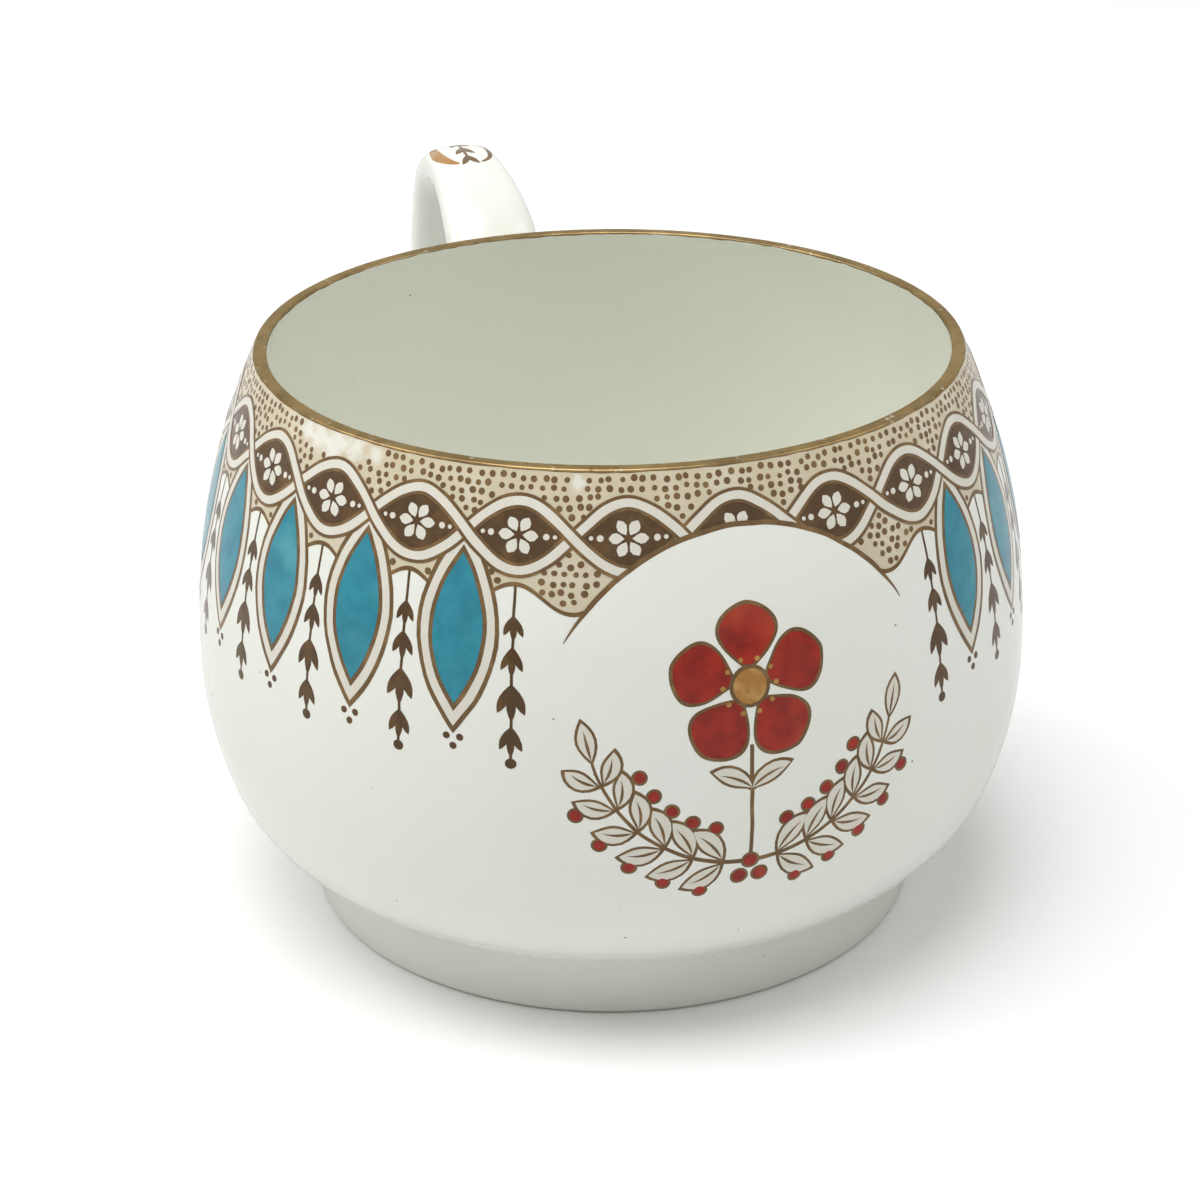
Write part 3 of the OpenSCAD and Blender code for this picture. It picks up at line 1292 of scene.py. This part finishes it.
@dataclass
class Reserve(SubAssembly):
    """The round reserve that breaks into the border, with an enamel flower over two leafy sprays."""

    wall: Wall
    drop: float = 23.5 * MM
    radius: float = 19.2 * MM
    # Heights over which the disc goes from the wall's surface to over the border
    slope: tuple[float, float] = (6 * MM, 11 * MM)
    flower_up: float = 5.0 * MM
    petals: int = 5
    petal_foot: float = 1.7 * MM
    petal_tip: float = 7.3 * MM
    petal_width: float = 5.3 * MM
    petal_dome: float = 0.06 * MM
    eye: float = 1.6 * MM
    stamens: int = 10
    stamen: float = 0.24 * MM
    stamen_reach: float = 2.5 * MM
    line: float = 0.34 * MM
    edge_angles: tuple[float, float] = (math.radians(30), math.radians(150))
    spray_radius: float = 14.6 * MM
    spray_up: float = 2.6 * MM
    spray_sweep: float = math.radians(76)
    leaf_lean: float = 0.72
    berry: float = 0.5 * MM
    berry_reach: float = 3.35 * MM
    # Where the leaves and berries stand, as shares along a spray's stem
    leaf_places: tuple[float, ...] = (0.12, 0.27, 0.42, 0.57, 0.72, 0.86)
    berry_places: tuple[float, ...] = (0.21, 0.36, 0.51, 0.66, 0.81)
    # Radius and places of the berries where the sprays meet
    tie_berry: float = 0.62 * MM
    tie_places: tuple[tuple[float, float], ...] = (
        (0, -12.0 * MM), (-0.95 * MM, -13.6 * MM), (0.95 * MM, -13.6 * MM))

    @property
    def depth(self) -> float:
        """Give the depth along the wall of the reserve's middle."""
        return self.wall.depth_at(self.wall.height - self.drop)

    @property
    def flower(self) -> Vector:
        """Give the middle of the flower."""
        return Vector((0, self.flower_up, 0))

    def build(self) -> None:
        """Build the clear disc, the flower and the sprays."""
        disc = Drawing()
        disc.round_patch(Vector(), self.radius, 56, Layer.RESERVE.lift)
        chart = self._chart()
        for name, sheet, finish, *nodes in (
                ("reserve_ground", disc, CHINA),
                ("reserve_print", self._lines(), SEPIA),
                ("reserve_leaves", self._leaves(0.0, Layer.RESERVE_FILL), PALE),
                ("reserve_veins", self._veins(), SEPIA),
                ("reserve_berries", self._berries(0.0, Layer.RESERVE_FILL), RED),
                ("flower_petals", self._petals(), RED, "flower_enamel"),
                ("flower_eye", self._eye(), OCHRE)):
            self.fitted(name, sheet.laid(chart), finish, *nodes)

    def _chart(self) -> Chart:
        """Map the drawing onto the wall, over the border at the top and sunk to the wall below it.

        Returns:
            A function from a drawn point to its place.
        """
        chart, (low, high) = self.wall.chart(math.pi, self.depth), self.slope

        def place(spot: Vector) -> Vector:
            """Put a drawn point on the wall.

            Args:
                spot: The point, x to the right, y up and z outward.

            Returns:
                Its place.
            """
            share = min(max((high - spot.y) / (high - low), 0.0), 1.0)
            sunk = (Layer.RESERVE - Layer.GROUND) * LAYER * share * share * (3 - 2 * share)
            return chart(spot - Vector((0, 0, sunk)) if spot.z > 0 else spot)

        return place

    def _on_spray(self, side: int, share: float) -> Vector:
        """Give a point on a spray's stem, from the bottom of the reserve to its tip."""
        angle = -math.pi / 2 + side * share * self.spray_sweep
        return around(angle, self.spray_radius) + Vector((0, self.spray_up, 0))

    def _spray_leaves(self) -> Iterable[tuple[Vector, Vector, float, float]]:
        """List the leaves of both sprays and of the flower's stem.

        Returns:
            Each leaf's foot, tip, width and bow.
        """
        for side in (-1, 1):
            for i, share in enumerate(self.leaf_places):
                foot = self._on_spray(side, share)
                way = (self._on_spray(side, share + 0.01) - self._on_spray(side, share - 0.01)).normalized()
                for lean in (-1, 1):
                    spun = Matrix.Rotation(lean * self.leaf_lean, 3, "Z") @ way
                    tip = foot + spun * (4.6 - 0.22 * i) * MM
                    yield foot + spun * 0.5 * MM, tip, (1.75 - 0.06 * i) * MM, lean * 0.3 * MM
            foot = self._on_spray(side, 1.0)
            way = (foot - self._on_spray(side, 0.98)).normalized()
            yield foot, foot + way * 3.6 * MM, 1.4 * MM, 0.0
        for side in (-1, 1):
            foot = Vector((0, -4.6, 0)) * MM
            yield foot, foot + Vector((side * 3.6, 1.9, 0)) * MM, 1.5 * MM, side * 0.4 * MM

    def _leaves(self, grow: float, layer: Layer) -> Drawing:
        """Draw the sprays' leaves.

        Args:
            grow: Margin by which they are grown.
            layer: The layer that they lie in.

        Returns:
            The drawn leaves.
        """
        sheet = Drawing()
        for foot, tip, width, bow in self._spray_leaves():
            way = (tip - foot).normalized() * grow * 1.6
            sheet.leaf(foot - way, tip + way, width + 2 * grow, (10, 2), layer.lift, bow, 0.1)
        return sheet

    def _berries(self, grow: float, layer: Layer) -> Drawing:
        """Draw the sprays' berries.

        Args:
            grow: Margin by which they are grown.
            layer: The layer that they lie in.

        Returns:
            The drawn berries.
        """
        sheet = Drawing()
        for side in (-1, 1):
            for share in self.berry_places:
                for lean in (-1, 1):
                    spot = self._on_spray(side, share - 0.015 * lean)
                    out = (spot - Vector((0, self.spray_up, 0))).normalized() * lean * self.berry_reach
                    sheet.round_patch(spot + out, self.berry + grow, 10, layer.lift)
        for x, y in self.tie_places:
            sheet.round_patch(Vector((x, y, 0)), self.tie_berry + grow, 10, layer.lift)
        return sheet

    def _veins(self) -> Drawing:
        """Draw a vein along each leaf.

        Returns:
            The drawn veins.
        """
        sheet = Drawing()
        for foot, tip, _, bow in self._spray_leaves():
            sheet.leaf(foot, foot.lerp(tip, 0.82), 0.26 * MM, (8, 1), Layer.VEIN.lift, bow * 0.8, -0.4)
        return sheet

    def _lines(self) -> Drawing:
        """Draw the brown lines: the reserve's upper edge, the stems and what outlines the rest.

        Returns:
            The drawn lines.
        """
        sheet, lift, (first, last) = Drawing(), Layer.RESERVE_LINE.lift, self.edge_angles
        sheet.band(lambda s: around(first + (last - first) * s, self.radius),
                   lambda s: 0.46 * MM * min(1.0, 0.2 + 8 * s, 0.2 + 8 * (1 - s)), (72, 1), lift)
        sheet.band(lambda s: self.flower - Vector((0, 5.4 + 11.6 * s, 0)) * MM, 0.36 * MM, (20, 1), lift)
        for side in (-1, 1):
            sheet.band(lambda s, k=side: self._on_spray(k, s), lambda s: (0.46 - 0.2 * s) * MM, (40, 1), lift)
        outlines = (self._leaves(self.line * 0.75, Layer.RESERVE_LINE),
                    self._berries(self.line * 0.7, Layer.RESERVE_LINE), self._petals(self.line))
        poured(sheet.mesh, *(outline.mesh for outline in outlines))
        sheet.dot(self.flower, self.eye + self.line, 24, Layer.EYE_LINE.lift)
        return sheet

    def _petals(self, grow: float = 0.0) -> Drawing:
        """Draw the flower's petals: domed enamel, or the flat outline that shows round it.

        Args:
            grow: Margin of the outline, or 0 for the enamel.

        Returns:
            The drawn petals.
        """
        near, far = self.petal_foot - grow, self.petal_tip + grow

        def along(share: float) -> float:
            """Bring the steps closer together near the petal's ends."""
            return (1 - math.cos(math.pi * share)) / 2

        def breadth(share: float) -> float:
            """Widen towards the petal's rounded far end."""
            return (self.petal_width + 2 * grow) * math.sin(math.pi * along(share) ** 1.35) ** 0.62

        def dome(share: float, side: float) -> float:
            """Give the height of the enamel, full in the middle of the petal."""
            full = math.sqrt(max(1 - side * side, 0.0)) * math.sin(math.pi * share)
            return Layer.RESERVE_LINE.lift if grow else Layer.RESERVE_FILL.lift + self.petal_dome * full

        sheet = Drawing()
        for i in range(self.petals):
            way = around(math.pi / 2 + i * math.tau / self.petals, 1.0)
            sheet.band(lambda s, k=way: self.flower + k * (near + (far - near) * along(s)),
                       breadth, (24, 8), dome)
        return sheet

    def _eye(self) -> Drawing:
        """Draw the flower's eye and the stamens round it.

        Returns:
            The drawn dots.
        """
        sheet = Drawing()
        sheet.dot(self.flower, self.eye, 24, Layer.EYE.lift)
        for i in range(self.stamens):
            spot = self.flower + around(i * math.tau / self.stamens, self.stamen_reach)
            sheet.dot(spot, self.stamen, 8, Layer.STAMEN.lift)
        return sheet


@dataclass
class Border(SubAssembly):
    """The border under the lip: a twined ribbon on a stippled ground, with enamel leaves and husk drops."""

    wall: Wall
    reserve: Reserve
    repeats: int = 24
    ribbon_depth: float = 5.7 * MM
    swing: float = 3.0 * MM
    ribbon: float = 1.35 * MM
    ribbon_fill: float = 0.75 * MM
    ground_edge: float = 11.1 * MM
    scallop: float = 1.2 * MM
    leaf_drop: float = 7.2 * MM
    leaf_rise: float = 13.0 * MM
    leaf_width: float = 4.6 * MM
    line: float = 0.4 * MM
    frame_width: float = 0.75 * MM
    frame_tip: float = 2.4 * MM
    enamel_edge: float = 0.045 * MM
    enamel_dome: float = 0.07 * MM
    drop_depth: float = 15 * MM
    trefoil_depth: float = 24.1 * MM
    # Degrees either side of the reserve's middle that hold no husk drop or no leaf
    drop_clear: float = 20.0
    leaf_clear: float = 30.0
    # Height, length and width of each husk of a drop in millimetres
    husks: tuple[tuple[float, float, float], ...] = (
        (2.4, 2.4, 0.6), (-0.4, 2.7, 0.66), (-3.7, 3.5, 0.86), (-7.6, 2.8, 0.72))
    # Lean of the husks either side of a drop's middle one, and their length as a share of its own
    husk_lean: float = 0.42
    side_husk: float = 0.86
    first_dots: float = 0.7 * MM
    dot_pitch: float = 0.94 * MM
    dot_row: float = 0.8178 * MM
    dot_room: float = 0.25 * MM
    dot_radius: tuple[float, float] = (0.25 * MM, 0.33 * MM)
    seed: int = 11

    @cached_property
    def leaf_ends(self) -> tuple[float, float]:
        """Give the depths of a leaf's two tips."""
        top = self.wall.height - self.leaf_drop
        return self.wall.depth_at(top), self.wall.depth_at(top - self.leaf_rise)

    @property
    def leaf_length(self) -> float:
        """Give a leaf's length along the wall."""
        return self.leaf_ends[1] - self.leaf_ends[0]

    @property
    def leaf_depth(self) -> float:
        """Give the depth of a leaf's middle."""
        return sum(self.leaf_ends) / 2

    @property
    def step(self) -> float:
        """Give the angle between two leaves."""
        return math.tau / self.repeats

    @property
    def pitch(self) -> float:
        """Give the distance between two crossings of the ribbon."""
        return self.step * self.wall.section(self.ribbon_depth)[0]

    def build(self) -> None:
        """Build the ground, the print, the ribbon and the leaves."""
        frame_edge = self.line + self.frame_width
        lines = (self._edging(), self._ribbon(self.ribbon, Layer.RIBBON_LINE),
                 self._vesica(frame_edge + self.line, Layer.PRINT.lift),
                 self._vesica(self.line, Layer.INNER_LINE.lift))
        frames = (self._vesica(frame_edge, Layer.FRAME.lift), self._ribbon(self.ribbon_fill, Layer.RIBBON),
                  self._rosettes())
        self.fitted("border_ground", self._ground(), CREAM)
        self.fitted("border_stipple", self._stipple(), SEPIA)
        self.fitted("border_fills", poured(self._lenses(), self._husks(), self._trefoils()), UMBER)
        self.fitted("border_lines", poured(*lines), SEPIA)
        self.fitted("border_frames", poured(*frames), PALE)
        self.fitted("leaf_enamel_pads", self._vesica(0.0, self._dome), TURQUOISE, "leaf_enamel")

    def _repeated(self, sheet: Drawing, depth: float, shift: float = 0.0, clear: float = -1.0) -> BMesh:
        """Lay a sheet all round the cup.

        Args:
            sheet: The drawn motif.
            depth: Depth of its middle.
            shift: Its shift round the cup in steps.
            clear: Degrees either side of the reserve's middle that hold none.

        Returns:
            The laid motifs.
        """
        turns = ((i + shift) * self.step for i in range(self.repeats))
        kept = [turn for turn in turns if abs(math.degrees(turn) - 180) > clear]
        return sheet.repeated(self.wall.chart(0, depth), kept)

    def _faced(self, mesh: BMesh) -> BMesh:
        """Give the points of a thin ring the wall's own direction.

        Args:
            mesh: The ring.

        Returns:
            The same ring.
        """
        facing = mesh.verts.layers.float_vector.new("facing")
        upper = self.wall.arcs[0]
        for vert in mesh.verts:
            out = Vector((vert.co.x, vert.co.y, 0)).normalized() * (vert.co.xy.length - upper.x)
            vert[facing] = Vector((out.x, out.y, vert.co.z - upper.z)).normalized()
        return mesh

    def _edge(self, turn: float) -> float:
        """Give the depth of the ground's scalloped lower edge at an angle."""
        return self.ground_edge - self.scallop * math.cos(self.repeats * turn)

    def _ground(self) -> BMesh:
        """Lay the cream ground round the cup.

        Returns:
            The closed ring.
        """
        columns, rows, face = 480, 20, 18

        def spot(column: int, row: int) -> Vector:
            """Go round the cup by columns, and by rows down the ground's face and back below it."""
            turn, (share, lift) = math.tau * column / columns, folded(row, rows, face, Layer.GROUND.lift)
            return self.wall.place(turn, self._edge(turn) * share, lift)

        return self._faced(wrapped(columns, rows, spot))

    def _edging(self) -> BMesh:
        """Draw the line along the ground's scalloped edge.

        Returns:
            The closed ring.
        """
        columns, half, lift = 600, self.line / 2, Layer.PRINT.lift
        corners = ((-half, lift), (half, lift), (half, BEDDED), (-half, BEDDED))

        def spot(column: int, row: int) -> Vector:
            """Go round the cup by columns, and by rows round the line's section."""
            turn, (side, height) = math.tau * column / columns, corners[row]
            return self.wall.place(turn, self._edge(turn) + side, height)

        return self._faced(wrapped(columns, len(corners), spot))

    def _swung(self, x: float) -> float:
        """Give the upper strand's height at a distance from a lens's middle."""
        return self.swing * math.cos(math.pi * x / self.pitch)

    def _ribbon(self, width: float, layer: Layer) -> BMesh:
        """Twine the two strands of the ribbon.

        Args:
            width: Width of a strand.
            layer: The layer above and below which the strands pass.

        Returns:
            The laid strands.
        """
        sheet = Drawing()
        for way in (1, -1):
            sheet.band(lambda s, k=way: Vector((s * self.pitch, k * self._swung(s * self.pitch), 0)),
                       width, (20, 1), lambda s, _, k=way: (layer + k * math.sin(math.pi * s)) * LAYER)
        return self._repeated(sheet, self.ribbon_depth)

    def _lenses(self) -> BMesh:
        """Fill the lenses between the strands.

        Returns:
            The laid fills.
        """
        sheet = Drawing()
        sheet.band(lambda s: Vector(((s - 0.5) * self.pitch, 0, 0)),
                   lambda s: 2 * max(self._swung((s - 0.5) * self.pitch), 0.0), (20, 4), Layer.PRINT.lift)
        return self._repeated(sheet, self.ribbon_depth)

    def _rosettes(self) -> BMesh:
        """Draw a six-petalled rosette and two pairs of dots in each lens.

        Returns:
            The laid rosettes.
        """
        sheet = Drawing()
        for i in range(6):
            way = around(i * math.pi / 3, 1.0)
            sheet.leaf(way * 0.35 * MM, way * 1.75 * MM, 0.95 * MM, (6, 2), Layer.FRAME.lift, 0.0, 0.3)
        for x, radius in ((2.45, 0.3), (3.2, 0.2)):
            for side in (-1, 1):
                sheet.dot(Vector((side * x * MM, 0, 0)), radius * MM, 8, Layer.FRAME.lift)
        return self._repeated(sheet, self.ribbon_depth)

    def _husks(self) -> BMesh:
        """Hang a drop of graded husks below each lens.

        Returns:
            The laid drops.
        """
        sheet, lift = Drawing(), Layer.PRINT.lift
        sheet.band(lambda s: Vector((0, 5 - 15.5 * s, 0)) * MM, 0.26 * MM, (24, 1), lift)
        for up, length, width in self.husks:
            foot = Vector((0, up, 0)) * MM
            for lean in (-self.husk_lean, 0.0, self.husk_lean):
                reach = length * MM * (self.side_husk if lean else 1.0)
                tip = foot + Vector((math.sin(lean), -math.cos(lean), 0)) * reach
                sheet.leaf(foot, tip, width * MM, (8, 2), lift, 0.0, 0.25)
        sheet.dot(Vector((0, -11.0, 0)) * MM, 0.5 * MM, 10, lift)
        return self._repeated(sheet, self.drop_depth, 0.0, self.drop_clear)

    def _trefoils(self) -> BMesh:
        """Draw three dots below each leaf.

        Returns:
            The laid dots.
        """
        sheet = Drawing()
        for x, y in ((0, -0.9), (-0.62, 0), (0.62, 0)):
            sheet.dot(Vector((x, y, 0)) * MM, 0.34 * MM, 10, Layer.PRINT.lift)
        return self._repeated(sheet, self.trefoil_depth, 0.5, self.leaf_clear)

    def _vesica(self, grow: float, lift: Lift | float) -> BMesh:
        """Draw a leaf at each crossing of the ribbon.

        Args:
            grow: Distance beyond the enamel's outline.
            lift: Height of the face.

        Returns:
            The laid leaves.
        """
        point = math.atan(2 * self.leaf_width / self.leaf_length)
        tip = Vector((0, self.leaf_length / 2 + grow / math.sin(point), 0))
        sheet = Drawing()
        sheet.leaf(tip, -tip, self.leaf_width + 2 * grow, (24, 10), lift)
        return self._repeated(sheet, self.leaf_depth, 0.5, self.leaf_clear)

    def _dome(self, share: float, side: float) -> float:
        """Give the height of a leaf's enamel, full in the middle and thin at the edge."""
        full = math.sqrt(max(1 - side * side, 0.0)) * math.sin(math.pi * share) ** 0.5
        return self.enamel_edge + self.enamel_dome * full

    def _covered(self, turn: float, depth: float) -> bool:
        """Say whether a place on the ground lies under the ribbon, a leaf or the reserve.

        Args:
            turn: Angle round the cup.
            depth: Depth below the lip.

        Returns:
            True if a dot there would be hidden or cut.
        """
        girth = self.wall.section(depth)[0]
        lens = (turn + self.step / 2) % self.step - self.step / 2
        strand = self.swing * math.cos(math.pi * lens / self.step)
        if abs(depth - self.ribbon_depth) < strand + self.ribbon / 2 + self.dot_room:
            return True
        off_reserve = math.hypot((turn - math.pi) * girth, depth - self.reserve.depth)
        if off_reserve < self.reserve.radius + self.dot_room:
            return True
        leaf = (turn // self.step + 0.5) * self.step
        down = (depth - self.leaf_depth) / (self.leaf_length / 2 + self.frame_tip)
        half = self.leaf_width / 2 + self.line * 2 + self.frame_width + self.dot_room
        inside = abs(down) < 1 and abs(turn - leaf) * girth < half * (1 - down * down)
        return inside and abs(math.degrees(leaf) - 180) > self.leaf_clear

    def _stipple(self) -> BMesh:
        """Scatter dots over the ground, clear of what lies on it and of the rubbed places.

        Returns:
            The laid dots.
        """
        chance, sheet, rubbed = random.Random(self.seed), Drawing(), rubbed_spots()
        girth = self.wall.section(self.ribbon_depth)[0]
        depth = self.first_dots
        while depth < self.ground_edge + self.scallop:
            count = round(math.tau * self.wall.section(depth)[0] / self.dot_pitch)
            shift = chance.random()
            for i in range(count):
                turn = (i + shift + chance.uniform(-0.2, 0.2)) / count * math.tau % math.tau
                down = depth + chance.uniform(-0.16, 0.16) * self.dot_pitch
                radius = chance.uniform(*self.dot_radius)
                spot = self.wall.place(turn, down)
                worn = any((spot - middle).length < reach for middle, reach in rubbed)
                if down < self._edge(turn) - 2 * self.dot_room and not worn and not self._covered(turn, down):
                    drawn = Vector((turn * girth, self.ribbon_depth - down, 0))
                    sheet.dot(drawn, radius, 9, Layer.PRINT.lift)
            depth += self.dot_row
        return sheet.laid(self.wall.chart(0, self.ribbon_depth))


@dataclass
class Studio:
    """The pale floor, the soft light and the camera."""

    eye: tuple[float, float, float] = (-243.70 * MM, 76.84 * MM, 147.90 * MM)
    bearing: float = math.radians(-17.259)
    pitch: float = math.radians(-24.946)
    roll: float = math.radians(-0.510)
    lens: float = 84.49
    sensor: float = 36.0
    ambient: float = 0.33
    aim: tuple[float, float, float] = (0.0, 0.0, 30 * MM)
    # Name, place, size and power of each lamp
    lamps: tuple[tuple[str, tuple[float, float, float], float, float], ...] = (
        ("overhead_lamp", (-0.13, 0.2, 1.3), 0.95, 10.9),
        ("left_lamp", (0.27, 0.86, 0.88), 0.8, 4.8),
        ("right_lamp", (-0.27, -0.86, 0.9), 0.8, 2.4))

    def build(self) -> None:
        """Set up the camera, the floor and the light."""
        bpy.context.scene.view_settings.view_transform = "Standard"
        bpy.context.scene.camera = self._camera()
        self._floor()
        self._world()
        for lamp in self.lamps:
            self._lamp(*lamp)

    @staticmethod
    def _placed(name: str, data: bpy.types.ID) -> bpy.types.Object:
        """Put an object into the scene.

        Args:
            name: Its name.
            data: What it shows: a mesh, a lamp or a camera.

        Returns:
            The object.
        """
        made = bpy.data.objects.new(name, data)
        bpy.context.scene.collection.objects.link(made)
        return made

    def _camera(self) -> bpy.types.Object:
        """Place the camera where the photograph was taken from.

        Returns:
            The camera.
        """
        level = math.cos(self.pitch)
        ahead = Vector((level * math.cos(self.bearing), level * math.sin(self.bearing), math.sin(self.pitch)))
        right = ahead.cross(Vector((0, 0, 1))).normalized()
        up = right.cross(ahead)
        turned = right * math.cos(self.roll) + up * math.sin(self.roll)
        upright = up * math.cos(self.roll) - right * math.sin(self.roll)
        data = bpy.data.cameras.new("camera")
        data.lens, data.sensor_width, data.clip_start = self.lens, self.sensor, 10 * MM
        camera = self._placed("camera", data)
        axes = Matrix((turned, upright, -ahead)).transposed().to_4x4()
        camera.matrix_world = Matrix.Translation(self.eye) @ axes
        return camera

    def _floor(self) -> None:
        """Lay a wide pale floor that keeps the cup's shadow."""
        mesh = bmesh.new()
        bmesh.ops.create_grid(mesh, x_segments=8, y_segments=8, size=4)
        shape = bpy.data.meshes.new("floor")
        mesh.to_mesh(shape)
        mesh.free()
        shader = Shader(bpy.data.materials.new("pale_floor"))
        camera = shader.node("ShaderNodeLightPath", None, None, "Is Camera Ray")
        white = shader.node("ShaderNodeBsdfDiffuse", None, {"Color": (1, 1, 1, 1)})
        dull = shader.node("ShaderNodeBsdfDiffuse", None, {"Color": (0.8, 0.8, 0.8, 1)})
        mixed = shader.node("ShaderNodeMixShader", None, {0: camera, 1: dull, 2: white})
        shader.node("ShaderNodeOutputMaterial", None, {"Surface": mixed})
        shape.materials.append(shader.owner)
        floor = self._placed("floor", shape)

    def _world(self) -> None:
        """Light the cup from all round, in front of a white background."""
        world = bpy.data.worlds.new("studio")
        bpy.context.scene.world = world
        shader = Shader(world)
        camera, glossy, clear = (shader.node("ShaderNodeLightPath", None, None, f"Is {kind} Ray")
                                 for kind in ("Camera", "Glossy", "Transmission"))
        light = shader.node("ShaderNodeBackground", None, {"Color": (1, 1, 1, 1), "Strength": self.ambient})
        backdrop = shader.node("ShaderNodeBackground", None, {"Color": (1, 1, 1, 1), "Strength": 1.0})
        seen = (camera + glossy + clear).clamped()
        mixed = shader.node("ShaderNodeMixShader", None, {0: seen, 1: light, 2: backdrop})
        shader.node("ShaderNodeOutputWorld", None, {"Surface": mixed})

    def _lamp(self, name: str, place: tuple[float, float, float], size: float, power: float) -> None:
        """Hang a large soft lamp that points at the cup.

        Args:
            name: The lamp's name.
            place: Where it hangs.
            size: Its width.
            power: Its power in watts.
        """
        data = bpy.data.lights.new(name, "AREA")
        data.shape, data.size, data.energy = "DISK", size, power
        ahead = Vector(self.aim) - Vector(place)
        lamp = self._placed(name, data)
        lamp.matrix_world = Matrix.Translation(place) @ ahead.to_track_quat("-Z", "Y").to_matrix().to_4x4()


def main() -> None:
    """Build the studio and the cup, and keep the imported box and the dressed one."""
    logging.basicConfig(level=logging.INFO, format="%(message)s")
    wall = Wall.from_frame()
    reserve = Reserve(wall)
    for part in (Studio(), Bowl(wall), Foot.from_frame(wall), Strap(wall), Border(wall, reserve), reserve):
        LOG.info("building %s", type(part).__name__)
        part.build()


if __name__ == "__main__":
    main()
